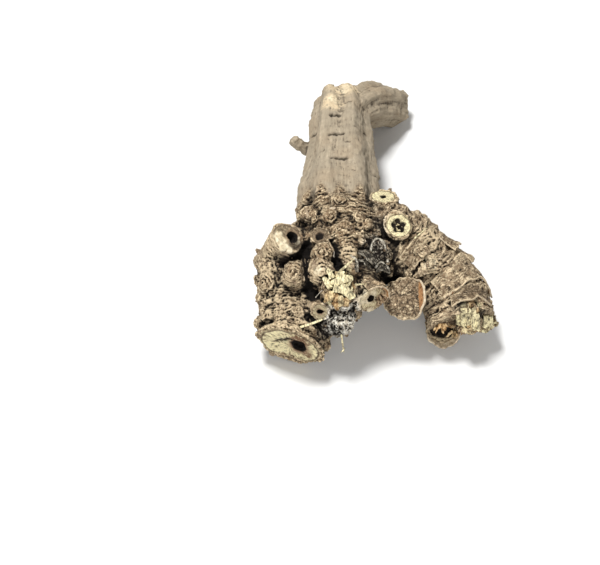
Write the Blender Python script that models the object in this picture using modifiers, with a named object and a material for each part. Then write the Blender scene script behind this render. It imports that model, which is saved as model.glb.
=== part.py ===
"""Hollyhock root: a dried taproot and its crown, one grown piece, lying as it would on a table.

The frame is in metres with +Z up. The taproot runs along +Y and bends down to the right at its far
end. The crown lies at -Y and forks into two trunks that end in sawn or broken stem bases. Shorter
stubs, buds and knobs cover the crown. Sizes below are millimetres, and MM turns them into metres.
Places are measured from the middle of the root's outline, on the table.
"""

import math
import random
from typing import NamedTuple

import bmesh
import bpy
from mathutils import Vector, noise

MM = 0.001

# The middle of the root's outline, seen from the crown's own middle, which the places below start at.
OUTLINE_MIDDLE = Vector((10.28, 29.62, 0.0))

# The three main bodies, from which the finer sizes follow.
TAPROOT_R = 14.4
TRUNK_R = 12.4
CROWN_R = 17.0

STATION = 2.2  # step between two rings of points along a limb
RING_PITCH = 3.4  # from one growth ring in the bark to the next
RING_DEPTH = 0.5
RING_WANDER = 0.55  # how far a ring strays from level, as a share of the pitch
RIBS = 6  # long ridges round the taproot
RIB_TURN = 2.83  # where the first one lies, in radians of their pattern
RIB_DEPTH = 0.9
LUMP = 1.0  # height of the bark's rough swellings
LUMP_SIZE = 6.5
SWELL = 1.3  # slow change of a limb's thickness along and around it
SWELL_SIZE = 17.0
HOLE_DEPTH = 3.0  # how deep the pith has shrunk into a stub
HOLE_TAPER = 0.7
EDGE_SHARE = 0.86  # where a cut or broken face starts, as a share of the limb's radius
END_DOME = 0.4  # how far such a face bulges
BLUNT = 0.75  # length of a bud's dome, as a share of its radius
SPLINTER = 1.1  # unevenness of a broken end
WART_R = (1.3, 2.9)  # smallest and largest grain of bark on the crown
WARTS = {"crown": (62, 0.1, 1.0), "left_trunk": (40, 0.1, 0.85), "right_trunk": (16, 0.15, 0.6)}
LIP = 0.7  # how far the bark stands out round a cut end
STUB_FLARE = 1.15  # how much thicker a stub is inside the crown than at its end
GRAIN = 0.75  # size of the facets that the joined limbs are first remade with
FACETS = 11200  # what they are then thinned to, most where the bark is roughest


class Limb(NamedTuple):
    """One tapering length of root, whose points and radii run from inside the crown outwards."""

    name: str
    points: tuple
    radii: tuple
    sides: int
    end: str = "bud"  # bud, cut or broken
    hole: float = 0.0  # radius of the empty pith in a cut end
    hole_at: tuple = (0.0, 0.0)  # the pith's place in the end, up and across from its middle
    rings: float = 1.0  # share of RING_DEPTH
    ribs: float = 0.0  # share of RIB_DEPTH
    lumps: float = 1.0  # share of LUMP
    swell: float = 0.0  # share of SWELL


def stub(name, tip, toward, length, radius, end="bud", hole=0.0, sides=14, lumps=0.7, hole_at=(0, 0)):
    """A short side limb, given by the middle of its end and the way that it points."""
    tip, toward = Vector(tip), Vector(toward).normalized()
    root = tip - toward * length
    middle = root.lerp(tip, 0.5)
    radii = (radius * STUB_FLARE, radius * 1.02, radius)
    return Limb(name, (root, middle, tip), radii, sides, end, hole, hole_at, 0.6, 0.0, lumps)


MAIN_LIMBS = (
    Limb(
        "taproot",
        ((0, 4, 22), (-1.5, 16, 22.5), (-1.5, 26, 23), (-0.8, 46, 23.5), (0, 66, 23), (-1, 76.5, 21.5)),
        tuple(TAPROOT_R * share for share in (1.1, 1.03, 0.97, 0.84, 0.73, 0.6)),
        sides=40,
        end="broken",
        rings=0.2,
        ribs=1.0,
        lumps=0.6,
        swell=1.0,
    ),
    Limb(
        "bend",
        ((0, 60, 22), (5, 71.5, 21), (14, 81, 14), (22.5, 88, 4.6)),
        (7.6, 8.8, 8.5, 7.7),
        sides=24,
        end="broken",
        rings=0.3,
        ribs=0.8,
        lumps=0.7,
        swell=0.8,
    ),
    Limb(
        "tail",
        ((-1, 62, 21), (-3.5, 74, 16.5), (-7, 79.5, 7.5)),
        (7.0, 6.0, 4.2),
        sides=18,
        end="cut",
        rings=0.3,
        ribs=0.5,
        lumps=0.8,
        swell=0.7,
    ),
    Limb(
        "crown",
        ((0, 17, 23), (0, 8, 22.5), (1, -4, 22), (1, -12, 22)),
        (CROWN_R * 0.8, CROWN_R, CROWN_R, CROWN_R * 0.75),
        sides=40,
        rings=0.9,
        lumps=1.7,
    ),
    Limb(
        "left_trunk",
        ((-9, 6, 21), (-16, -5, 18.5), (-18.2, -16, 14.6), (-17.4, -24.6, 12.9), (-19.4, -31.7, 12.2)),
        tuple(TRUNK_R * share for share in (0.95, 1.0, 1.0, 0.97, 0.93)),
        sides=38,
        end="cut",
        hole=2.3,
        hole_at=(0.0, -3.4),
        lumps=1.3,
    ),
    Limb(
        "right_trunk",
        ((7, 12, 25), (18.5, 5, 24), (31, -4.5, 18.5), (38.3, -12.5, 14), (40.4, -22, 11.4)),
        tuple(TRUNK_R * share for share in (0.9, 1.0, 0.97, 0.97, 0.98)),
        sides=40,
        end="broken",
        lumps=1.1,
        swell=0.5,
    ),
)

# Stubs and knobs that show from above, from the left of the crown to its right.
UPPER_STUBS = (
    stub("hollow_stub", (-20.4, -3.2, 36.5), (0.35, 0.0, 0.93), 18, 5.6, "cut", 1.7, 18, 0.9, (0.5, -1.9)),
    stub("small_hollow_stub", (-9.2, -4.2, 38.5), (0, -0.15, 0.99), 9, 3.0, "cut", 1.2, 12),
    stub("front_knob", (-8.2, -10.1, 37), (-0.1, -0.49, 0.87), 9, 3.8),
    stub("ringed_bud", (-18, -15.3, 31.5), (-0.2, -0.38, 0.9), 9, 4.5),
    stub("outer_bud", (-27, -14.1, 25), (-0.6, -0.38, 0.71), 9, 4.0),
    stub("split_crest", (-8.8, -16.3, 34.2), (-0.1, -0.6, 0.79), 10, 4.6, sides=18, lumps=1.6),
    stub("split_knob", (-2.8, -22, 31), (0.15, -0.68, 0.71), 15, 6.8, sides=22, lumps=2.0),
    stub("ring_scar", (-9.3, -28.3, 28.5), (-0.1, -0.79, 0.61), 9, 2.9, "cut", 0.7, 12),
    stub("frizzy_knob", (-2.5, -27, 22), (0.2, -0.92, 0.34), 13, 5.6, sides=18, lumps=1.6),
    stub("pale_stub", (8.6, -23.7, 29), (0.41, -0.85, 0.33), 16, 5.2, "broken", 0, 18, 1.6),
    stub("dark_knob", (11.7, -8.5, 33), (0.2, -0.72, 0.67), 9, 3.4),
    stub("dark_scale", (6.6, -8.5, 34), (0, -0.73, 0.68), 9, 2.6, sides=10),
    stub("collar_stub", (13.3, 15, 36), (0, 0.38, 0.93), 15, 4.6, "cut", 0.8, 16),
    stub("starred_stub", (18, 1.4, 37), (0.1, -0.25, 0.96), 15, 4.3, "cut", 1.9, 16),
    stub("pale_scar", (28.9, -10, 29.5), (0.4, -0.25, 0.88), 8, 3.2, "broken", 0, 12),
    stub("left_collar_knob", (-12, 19, 30), (-0.51, -0.22, 0.84), 9, 3.8),
    stub("collar_bud", (-2.4, 11.1, 38), (0, -0.4, 0.92), 8, 3.4, sides=12),
    stub("left_neck_knob", (-12.5, 8.1, 34), (-0.3, -0.37, 0.88), 8, 3.6),
    stub("neck_knob", (-5.6, 4, 38.5), (0, -0.4, 0.92), 8, 3.4, sides=12),
    stub("side_rootlet", (-18.2, 52.4, 24), (-0.81, 0.18, 0.55), 9, 2.3, sides=12),
)

# Small ends that share the trunks' broken ends.
END_STUBS = (
    stub("second_cut", (-9.8, -31.5, 9.5), (0.1, -0.98, -0.17), 12, 4.0, "cut", 0.8),
    stub("right_end_pale", (42.6, -24.2, 15.5), (0.25, -0.94, 0.25), 12, 5.0, "broken", 0, 16),
    stub("right_end_side", (50.0, -23.2, 11), (0.4, -0.91, 0.1), 12, 3.5, "broken"),
    stub("right_end_hollow", (34.2, -25, 10.5), (-0.05, -0.99, 0.1), 12, 5.6, "cut", 3.7, 18),
)

# What the crown holds where the camera of a photograph wouldn't see it.
LOWER_STUBS = (
    stub("rear_rootlet", (-14, 22, 12), (-0.75, 0.5, -0.4), 13, 3.4, "broken"),
    stub("under_rootlet", (4, 10, 2.4), (0.1, 0.2, -0.97), 10, 3.6, "broken"),
    stub("left_side_stub", (-28, 0, 14), (-0.95, 0.2, -0.2), 14, 4.6, "cut", 1.2, 16),
    stub("front_under_knob", (2, -15, 8), (0.1, -0.6, -0.75), 10, 4.4),
    stub("plate_rest", (19.0, -16.5, 19.5), (-0.15, -0.55, 0.82), 11, 5.2, "bud", 0, 16),
    stub("right_under_bud", (22, 14, 14), (0.7, 0.6, -0.3), 12, 4.0),
    stub("taproot_rootlet", (5, 44, 9.5), (0.35, 0.25, -0.9), 9, 2.2, "broken", 0, 12),
    stub("far_rootlet", (-9, 62, 15), (-0.75, 0.2, -0.6), 9, 2.0, "broken", 0, 12),
)

# A ridge of bark that runs from the neck down over the crown, and ends in a blunt tip.
RIDGE = Limb(
    "neck_ridge",
    ((0.1, 9, 34), (0.2, 0, 37), (0.4, -8, 36), (0.8, -15.5, 33)),
    (3.4, 3.6, 3.5, 3.2),
    sides=14,
)

# A plate of bark that has sprung loose from the right trunk and curls at its free edge.
PLATE_MIDDLE = (20.4, -19.4, 23.4)
PLATE_FACING = (-0.15, -0.34, 0.93)
PLATE_WIDTH = 16.6
PLATE_LENGTH = 15.0
PLATE_THICK = 1.1
PLATE_CURL = 3.0
PLATE_CORNER = 3.2  # 2 makes the plate round, and a larger number squarer

SCALE_THICK = 1.0
SCALE_LIFT = 2.2  # how far a scale's free edge has sprung off the trunk
SCALE_BOW = 0.12  # how much further a scale reaches at its sides, as a share of its length


class Scale(NamedTuple):
    """A curved scale of bark on the right trunk. Angles start at the trunk's upper side."""

    ends_at: float  # where its free edge lies along the trunk
    length: float
    angle: float
    spread: float


SCALES = (
    Scale(43.5, 9.0, -0.1, 1.5),
    Scale(49.0, 6.0, 0.1, 1.0),
    Scale(36.0, 7.0, -1.15, 0.8),
    Scale(30.0, 6.5, -0.75, 0.7),
    Scale(24.0, 6.0, 0.55, 0.8),
)


def curve_through(points, radii, step):
    """Points and radii read every step along a smooth curve through the given ones."""
    knots = [Vector((*p, r)) for p, r in zip(points, radii)]
    knots = [knots[0] * 2 - knots[1], *knots, knots[-1] * 2 - knots[-2]]
    read = []
    for before, here, there, after in zip(knots, knots[1:], knots[2:], knots[3:]):
        count = max(1, round((there - here).xyz.length / step))
        for i in range(count):
            t = i / count
            bend = (here * 3 - before - there * 3 + after) * t + (before * 2 - here * 5 + there * 4 - after)
            read.append((((there - before) + bend * t) * t) * 0.5 + here)
    return [*read, knots[-2]]


def stations_of(limb):
    """For each station: its middle, radius, length so far, and the directions along, up and across."""
    read = curve_through(limb.points, limb.radii, STATION)
    along, up, found = 0.0, None, []
    for i, knot in enumerate(read):
        ahead = (read[min(i + 1, len(read) - 1)] - read[max(i - 1, 0)]).xyz.normalized()
        if up is None:
            up = Vector((0, 1, 0)) if abs(ahead.z) > 0.7 else Vector((0, 0, 1))
        up = (up - ahead * up.dot(ahead)).normalized()
        along += (knot - read[i - 1]).xyz.length if i else 0.0
        found.append((knot.xyz, knot.w, along, ahead, up, ahead.cross(up)))
    return found


def relief(limb, place, along, angle):
    """How far the bark stands out of the limb's plain radius at a place on it, in millimetres."""
    around = Vector((math.cos(angle), math.sin(angle), 0.0))
    wander = RING_WANDER * noise.noise(around * 1.6 + Vector((0, 0, along / 9)) + place * 0.02)
    ring = math.cos(2 * math.pi * (along / RING_PITCH + wander))
    rib = math.cos(RIBS * angle - RIB_TURN + 1.2 * noise.noise(around + Vector((0, 0, along / 30))))
    lump = noise.fractal(place / LUMP_SIZE, 0.7, 2.0, 3)
    swell = noise.noise(place / SWELL_SIZE)
    rough = limb.lumps * LUMP * lump + limb.swell * SWELL * swell
    return limb.rings * RING_DEPTH * ring + limb.ribs * RIB_DEPTH * rib + rough


def ring_of_points(limb, station, limb_end, share, rise=0.0, splinter=0.0):
    """The points round a limb at a station, its radius scaled by share and moved outwards by rise."""
    middle, radius, along, ahead, up, across = station
    points = []
    for k in range(limb.sides):
        angle = 2 * math.pi * k / limb.sides
        spoke = up * math.cos(angle) + across * math.sin(angle)
        foot = middle + spoke * radius
        lip = LIP * math.exp(-(((limb_end - along) / 1.6) ** 2)) if limb.end == "cut" else 0.0
        out = (radius + lip + relief(limb, foot, along, angle)) * share
        rough = splinter * noise.noise(foot * 0.45 + spoke * share * 3)
        points.append(middle + spoke * out + ahead * (rise + rough))
    return points


def end_rings(limb, station):
    """The rings that close a limb's outer end, and the point that they close on."""
    middle, radius, ends_at, ahead, up, across = station
    if limb.end == "bud":
        steps = 3 if limb.sides < 30 else 5
        turns = [math.pi / 2 * k / steps for k in range(1, steps)]
        rings = []
        for t in turns:
            rings.append(ring_of_points(limb, station, ends_at, math.cos(t), BLUNT * radius * math.sin(t)))
        return rings, middle + ahead * BLUNT * radius
    rough = SPLINTER if limb.end == "broken" else 0.0
    edge = ring_of_points(limb, station, ends_at, EDGE_SHARE, END_DOME, rough)
    rings = [edge, ring_of_points(limb, station, ends_at, EDGE_SHARE / 2, END_DOME, rough * 1.6)]
    if not limb.hole:
        return rings, middle + ahead * END_DOME
    lip, floor = limb.hole / radius, HOLE_TAPER * limb.hole / radius
    shift = up * limb.hole_at[0] + across * limb.hole_at[1]
    mouth = ring_of_points(limb, station, ends_at, lip, END_DOME)
    bottom = ring_of_points(limb, station, ends_at, floor, -HOLE_DEPTH)
    rings[1:] = [[p + shift for p in mouth], [p + shift for p in bottom]]
    return rings, middle + shift - ahead * HOLE_DEPTH


def limb_body(limb):
    """A closed mesh object for one limb."""
    stations = stations_of(limb)
    ends_at = stations[-1][2]
    rings = [ring_of_points(limb, station, ends_at, 1.0) for station in stations]
    closing, pole = end_rings(limb, stations[-1])
    rings += closing
    bm = bmesh.new()
    rows = [[bm.verts.new((p - OUTLINE_MIDDLE) * MM) for p in ring] for ring in rings]
    for low, high in zip(rows, rows[1:]):
        for k in range(limb.sides):
            bm.faces.new((low[k], low[k - 1], high[k - 1], high[k]))
    for row, point in ((rows[0], stations[0][0]), (rows[-1], pole)):
        tip = bm.verts.new((point - OUTLINE_MIDDLE) * MM)
        for k in range(limb.sides):
            bm.faces.new((row[k - 1], row[k], tip))
    bmesh.ops.recalc_face_normals(bm, faces=bm.faces)
    return object_from(bm, limb.name)


def warts_on(limb, count, first, last, draw):
    """Small grains of bark sunk halfway into a limb, between two shares of its length."""
    stations = stations_of(limb)
    warts = []
    for _ in range(count):
        station = stations[round((len(stations) - 1) * draw.uniform(first, last))]
        middle, radius, _, _, up, across = station
        angle, size = draw.uniform(0, 2 * math.pi), draw.uniform(*WART_R)
        spoke = up * math.cos(angle) + across * math.sin(angle)
        place = middle + spoke * (radius + 0.25 * size)
        bm = bmesh.new()
        bmesh.ops.create_icosphere(bm, subdivisions=2, radius=size)
        for v in bm.verts:
            v.co += v.co * 0.45 * noise.noise(v.co * 0.6 + place)
            v.co -= spoke * v.co.dot(spoke) * 0.3
            v.co = (v.co + place - OUTLINE_MIDDLE) * MM
        warts.append(object_from(bm, "wart"))
    return warts


def object_from(bm, name):
    mesh = bpy.data.meshes.new(name)
    bm.to_mesh(mesh)
    bm.free()
    made = bpy.data.objects.new(name, mesh)
    bpy.context.scene.collection.objects.link(made)
    return made


def bark_plate():
    """The sprung plate: a bent open sheet, thickened by Solidify."""
    facing = Vector(PLATE_FACING).normalized()
    across = Vector((1, 0, 0)) - facing * facing.x
    across.normalize()
    down = facing.cross(across)
    bm = bmesh.new()
    bmesh.ops.create_grid(bm, x_segments=8, y_segments=7, size=0.5)
    for v in bm.verts:
        u, w = 2 * v.co.x, 2 * v.co.y
        x = 0.5 * PLATE_WIDTH * u * math.sqrt(1 - w * w / PLATE_CORNER)
        y = 0.5 * PLATE_LENGTH * w * math.sqrt(1 - u * u / PLATE_CORNER)
        lift = PLATE_CURL * max(0.0, u) ** 3 - 0.02 * y * y
        lift += 0.8 * noise.noise(Vector((x, y, 3)) * 0.25)
        place = Vector(PLATE_MIDDLE) + across * x + down * y + facing * lift
        v.co = (place - OUTLINE_MIDDLE) * MM
    plate = object_from(bm, "bark_plate")
    wall = plate.modifiers.new("Thickness", "SOLIDIFY")
    wall.thickness = PLATE_THICK * MM
    wall.offset = 0.0
    return plate


def bark_scale(scale, trunk):
    """One scale, which follows the trunk and lifts off it towards its free edge."""
    stations = stations_of(trunk)
    rows, columns = 5, 9
    bm = bmesh.new()
    grid = []
    for i in range(rows):
        down = i / (rows - 1)
        row = []
        for k in range(columns):
            side = 2 * k / (columns - 1) - 1
            along = scale.ends_at - scale.length * (1 - down) + SCALE_BOW * scale.length * down * side**2
            middle, radius, _, _, up, across = min(stations, key=lambda station: abs(station[2] - along))
            angle = scale.angle + 0.5 * scale.spread * side
            spoke = up * math.cos(angle) + across * math.sin(angle)
            lift = SCALE_LIFT * down**2 * (1 - 0.6 * side * side) - 0.4
            row.append(bm.verts.new((middle + spoke * (radius + lift) - OUTLINE_MIDDLE) * MM))
        grid.append(row)
    for upper, lower in zip(grid, grid[1:]):
        for k in range(columns - 1):
            bm.faces.new((upper[k], upper[k + 1], lower[k + 1], lower[k]))
    made = object_from(bm, "bark_scale")
    wall = made.modifiers.new("Thickness", "SOLIDIFY")
    wall.thickness = SCALE_THICK * MM
    wall.offset = 0.0
    return made


def bake(obj):
    """Makes the object's modified shape its mesh."""
    graph = bpy.context.evaluated_depsgraph_get()
    mesh = bpy.data.meshes.new_from_object(obj.evaluated_get(graph))
    obj.modifiers.clear()
    obj.data = mesh


def grown_together(bodies, name):
    """One body from all the limbs, by a union."""
    trunk, *others = bodies
    grown = bpy.data.collections.new("limbs")
    for body in others:
        grown.objects.link(body)
    union = trunk.modifiers.new("Union", "BOOLEAN")
    union.operation = "UNION"
    union.operand_type = "COLLECTION"
    union.collection = grown
    union.solver = "MANIFOLD"
    bake(trunk)
    for body in others:
        bpy.data.objects.remove(body)
    bpy.data.collections.remove(grown)
    trunk.name = name
    return trunk


def keep_outer_body(root):
    """Drops sealed hollows and loose scraps, which are the smaller islands of the mesh."""
    bm = bmesh.new()
    bm.from_mesh(root.data)
    bodies, left = [], set(bm.verts)
    while left:
        body, edge = set(), [left.pop()]
        while edge:
            v = edge.pop()
            body.add(v)
            near = {e.other_vert(v) for e in v.link_edges} & left
            left -= near
            edge.extend(near)
        bodies.append(body)
    bodies.sort(key=len)
    for body in bodies[:-1]:
        bmesh.ops.delete(bm, geom=list(body), context="VERTS")
    bm.to_mesh(root.data)
    bm.free()


def even_facets(root):
    """Remakes the joined bark with even facets, then thins them where it is plain."""
    remesh = root.modifiers.new("Even", "REMESH")
    remesh.mode = "VOXEL"
    remesh.voxel_size = GRAIN * MM
    bake(root)
    keep_outer_body(root)
    root.data.calc_loop_triangles()
    thin = root.modifiers.new("Thinned", "DECIMATE")
    thin.ratio = FACETS / len(root.data.loop_triangles)
    bake(root)


def laid_on_table(root):
    """Wears the lowest points flat, where the root lies on the table."""
    bpy.ops.mesh.primitive_cube_add(size=0.4, location=(0, 0, -0.2))
    table = bpy.context.object
    cut = root.modifiers.new("Worn flat", "BOOLEAN")
    cut.operation = "DIFFERENCE"
    cut.object = table
    cut.solver = "EXACT"
    bake(root)
    bpy.data.objects.remove(table)


def bark_material():
    material = bpy.data.materials.new("bark")
    material.use_nodes = True
    shader = material.node_tree.nodes["Principled BSDF"]
    shader.inputs["Base Color"].default_value = (0.30, 0.22, 0.14, 1)
    shader.inputs["Roughness"].default_value = 0.9
    shader.inputs["Metallic"].default_value = 0.0
    return material


def main():
    for obj in list(bpy.data.objects):
        bpy.data.objects.remove(obj)
    limbs = (*MAIN_LIMBS, *UPPER_STUBS, *END_STUBS, *LOWER_STUBS, RIDGE)
    bodies = [limb_body(limb) for limb in limbs]
    draw = random.Random(4)
    for limb in MAIN_LIMBS:
        if limb.name in WARTS:
            bodies += warts_on(limb, *WARTS[limb.name], draw)
    trunk = next(limb for limb in MAIN_LIMBS if limb.name == "right_trunk")
    loose = [bark_plate(), *(bark_scale(scale, trunk) for scale in SCALES)]
    for sheet in loose:
        bake(sheet)
    root = grown_together([*bodies, *loose], "root")
    even_facets(root)
    laid_on_table(root)
    root.data.materials.clear()
    root.data.materials.append(bark_material())
    part = bpy.data.collections.new("hollyhock_root")
    bpy.context.scene.collection.children.link(part)
    bpy.context.scene.collection.objects.unlink(root)
    part.objects.link(root)


main()
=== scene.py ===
"""Hollyhock root, dressed: the fine bark skin, the bark sheets, the torn wood, the loose bark and the stage.

The frame is in metres, +Z up, with the taproot along +Y and the crown nearest the camera. Tables below
are millimetres from the crown's own middle, as in the part's source, and OUTLINE_MIDDLE moves them to
the frame's origin.
"""

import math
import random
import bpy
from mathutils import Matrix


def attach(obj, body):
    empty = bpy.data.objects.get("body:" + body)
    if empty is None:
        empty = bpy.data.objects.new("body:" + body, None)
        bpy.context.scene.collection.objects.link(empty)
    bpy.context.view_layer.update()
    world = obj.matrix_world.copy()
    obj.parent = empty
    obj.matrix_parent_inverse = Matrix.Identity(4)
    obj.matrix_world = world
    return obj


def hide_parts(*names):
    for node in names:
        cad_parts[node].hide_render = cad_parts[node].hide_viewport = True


bl_info = {
    "name": "Hollyhock Root",
    "version": (1, 0, 0),
    "blender": (4, 5, 0),
    "location": "3D View > Sidebar > Root",
    "description": "Dresses a dried hollyhock root with bark, torn wood and loose flakes",
    "category": "Object",
}

from typing import NamedTuple

import bmesh
import bpy
import numpy as np
from bpy.props import FloatProperty, FloatVectorProperty, PointerProperty
from mathutils import Matrix, Vector, noise
from mathutils.bvhtree import BVHTree

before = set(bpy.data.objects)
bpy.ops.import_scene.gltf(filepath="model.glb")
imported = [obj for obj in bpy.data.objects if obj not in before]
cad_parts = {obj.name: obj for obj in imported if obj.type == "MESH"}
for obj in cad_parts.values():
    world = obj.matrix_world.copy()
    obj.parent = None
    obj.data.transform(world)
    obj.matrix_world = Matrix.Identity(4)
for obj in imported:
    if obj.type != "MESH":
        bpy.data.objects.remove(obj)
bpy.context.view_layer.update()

MM = 0.001
OUTLINE_MIDDLE = Vector((10.28, 29.62, 0.0))

# Sizes of the root's form, after the part's source, with somewhat bolder ribs and warts.
TAPROOT_R = 14.4
TRUNK_R = 12.4
CROWN_R = 17.0
RING_PITCH = 3.4
RING_DEPTH = 0.5
RING_WANDER = 0.55
RIBS = 6
RIB_TURN = 2.83
RIB_DEPTH = 1.2
LUMP = 1.0
LUMP_SIZE = 6.5
SWELL = 1.3
SWELL_SIZE = 17.0
HOLE_DEPTH = 3.0
HOLE_TAPER = 0.7
EDGE_SHARE = 0.86
END_DOME = 0.4
BLUNT = 0.75
SPLINTER = 1.1
WART_R = (1.3, 2.9)
WARTS = {"crown": (34, 0.2, 1.0), "left_trunk": (40, 0.1, 0.85), "right_trunk": (5, 0.15, 0.5)}
LIP = 0.7
LIP_REACH = 1.6
STUB_FLARE = 1.15

# The skin is read at finer steps than the source's limbs, and has this many triangles.
SKIN_FACETS = 194000
STATION = 2.2
STATION_SPLIT = 2
SIDE_SPLIT = 2

# Where the taproot's smooth bark gives way to the crown's, along +Y, and how the border wanders.
COLLAR = (21.0, 15.5)
COLLAR_WANDER = 2.5
COLLAR_TURNS = 0.9
COLLAR_CRUMBLE = 0.5

# How far off a point of the bark looks for the sky, in metres, and along how many rays; what it sees sets the
# painted shade in the crevices.
SKY_REACH = 0.007
SKY_RAYS = 14
GOLDEN_TURN = 2.39996

# How far the wrinkles of one limb are shifted against the next one's, so that they don't line up.
ALONG_SHIFT = 3.7
WART_SEED = 4
CRACK_SEED = 9
SPLINTER_SEED = 21
LOOSE_SEED = 3
SIZE_SEED = 7


class Limb(NamedTuple):
    """One tapering length of root, whose points and radii run from inside the crown outwards."""

    name: str
    points: tuple
    radii: tuple
    sides: int
    end: str = "bud"
    hole: float = 0.0
    hole_at: tuple = (0.0, 0.0)
    hole_tall: float = 1.0  # how much higher than wide the hole is
    rings: float = 1.0
    ribs: float = 0.0
    lumps: float = 1.0
    swell: float = 0.0
    age: float = 1.0  # 0 is smooth taproot bark, 1 the crown's rough bark
    crumble: float = 1.0  # how far the bark breaks up into grains


def stub(name, tip, toward, length, radius, end="bud", hole=0.0, sides=14, lumps=0.7, hole_at=(0, 0), **bark):
    """A short side limb, given by the middle of its end and the way that it points."""
    tip, toward = Vector(tip), Vector(toward).normalized()
    root = tip - toward * length
    middle = root.lerp(tip, 0.5)
    radii = (radius * STUB_FLARE, radius * 1.02, radius)
    bark = {"rings": 0.6, "crumble": 0.8, **bark}
    return Limb(name, (root, middle, tip), radii, sides, end, hole, hole_at, lumps=lumps, **bark)


MAIN_LIMBS = (
    Limb(
        "taproot",
        ((0, 4, 22), (-1.5, 16, 22.5), (-1.5, 26, 23), (-0.8, 46, 23.5), (0, 66, 23), (-1, 76.5, 21.5)),
        tuple(TAPROOT_R * share for share in (1.1, 1.03, 0.97, 0.84, 0.73, 0.6)),
        sides=40,
        end="broken",
        rings=0.2,
        ribs=1.0,
        lumps=0.6,
        swell=1.0,
        age=0.0,
        crumble=0.0,
    ),
    Limb(
        "bend",
        ((0, 60, 22), (5, 71.5, 21), (14, 81, 14), (22.5, 88, 4.6)),
        (7.6, 8.8, 8.5, 7.7),
        sides=24,
        end="broken",
        rings=0.3,
        ribs=0.6,
        lumps=0.7,
        swell=0.8,
        age=0.1,
        crumble=0.05,
    ),
    Limb(
        "tail",
        ((-1, 62, 21), (-3.5, 74, 16.5), (-7, 79.5, 7.5)),
        (7.0, 6.0, 4.2),
        sides=18,
        end="broken",
        rings=0.3,
        ribs=0.5,
        lumps=0.8,
        swell=0.7,
        age=0.1,
        crumble=0.05,
    ),
    Limb(
        "crown",
        ((0, 17, 23), (0, 8, 22.5), (1, -4, 22), (1, -12, 22)),
        (CROWN_R * 0.8, CROWN_R, CROWN_R, CROWN_R * 0.75),
        sides=40,
        rings=0.9,
        lumps=1.7,
        crumble=0.45,
    ),
    Limb(
        "left_trunk",
        ((-9, 6, 21), (-16, -5, 18.5), (-18.2, -16, 14.6), (-17.4, -24.6, 12.9), (-19.4, -31.7, 12.2)),
        tuple(TRUNK_R * share for share in (0.95, 1.0, 1.0, 0.97, 0.93)),
        sides=38,
        end="cut",
        hole=2.2,
        hole_at=(1.0, -3.4),
        hole_tall=1.45,
        lumps=1.4,
        crumble=0.6,
    ),
    Limb(
        "right_trunk",
        ((7, 12, 25), (18.5, 5, 24), (31, -4.5, 18.5), (38.3, -12.5, 14), (40.4, -22, 11.4)),
        tuple(TRUNK_R * share for share in (0.9, 1.0, 0.97, 0.97, 0.98)),
        sides=40,
        end="broken",
        lumps=1.1,
        swell=0.5,
        age=0.85,
        crumble=0.15,
    ),
)

UPPER_STUBS = (
    stub(
        "hollow_stub", (-20.4, -3.2, 36.5), (0.35, 0.0, 0.93), 18, 5.6, "cut", 1.5, 18, 0.9, (0.5, -1.9),
        rings=0.2, age=0.8, crumble=0.3, hole_tall=1.3,
    ),
    stub("hollow_stub_foot", (-25.6, -9.6, 26.5), (-0.35, -0.75, 0.5), 7, 4.4, lumps=1.6, crumble=1.3),
    stub("small_hollow_stub", (-9.2, -4.2, 38.5), (0, -0.15, 0.99), 9, 3.0, "cut", 1.2, 12),
    stub("front_knob", (-8.2, -10.1, 37), (-0.1, -0.49, 0.87), 9, 3.8),
    stub("ringed_bud", (-18, -15.3, 31.5), (-0.2, -0.38, 0.9), 9, 4.5),
    stub("outer_bud", (-27, -14.1, 25), (-0.6, -0.38, 0.71), 9, 4.0),
    stub("split_crest", (-8.8, -16.3, 34.2), (-0.1, -0.6, 0.79), 10, 4.6, sides=18, lumps=1.6),
    stub("split_knob", (-2.8, -22, 31), (0.15, -0.68, 0.71), 15, 6.8, sides=22, lumps=2.0),
    stub("ring_scar", (-9.3, -28.3, 28.5), (-0.1, -0.79, 0.61), 9, 2.9, "cut", 0.7, 12, crumble=0.3),
    stub("frizzy_knob", (-2.5, -27, 22), (0.2, -0.92, 0.34), 13, 5.8, sides=18, lumps=1.9, crumble=2.2),
    stub(
        "pale_stub", (8.6, -23.7, 29), (0.41, -0.85, 0.33), 16, 5.2, "cut", 0.9, 18, 1.6, (0.6, 0.8),
        crumble=0.5,
    ),
    stub("dark_knob", (11.7, -8.5, 33), (0.2, -0.72, 0.67), 9, 3.4, crumble=1.2),
    stub("dark_scale", (6.6, -8.5, 34), (0, -0.73, 0.68), 9, 2.6, sides=10, crumble=1.2),
    stub("collar_stub", (13.3, 15, 36), (0, 0.38, 0.93), 15, 4.6, "cut", 0.8, 16, crumble=0.5),
    stub("starred_stub", (18, 1.4, 37), (0.1, -0.25, 0.96), 15, 4.7, "cut", 1.9, 16, crumble=0.3),
    stub(
        "pale_scar", (28.9, -10, 29.5), (0.4, -0.25, 0.88), 8, 3.5,
        lumps=2.2, crumble=2.0, age=0.8, rings=0.3,
    ),
    stub("left_collar_knob", (-12, 19, 30), (-0.51, -0.22, 0.84), 9, 3.8),
    stub("collar_bud", (-2.4, 11.1, 38), (0, -0.4, 0.92), 8, 3.4, sides=12),
    stub("left_neck_knob", (-12.5, 8.1, 34), (-0.3, -0.37, 0.88), 8, 3.6),
    stub("neck_knob", (-5.6, 4, 38.5), (0, -0.4, 0.92), 8, 3.4, sides=12, crumble=0.4),
    stub("side_rootlet", (-18.2, 52.4, 24), (-0.81, 0.18, 0.55), 9, 2.3, sides=12, crumble=0.1),
)

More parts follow.
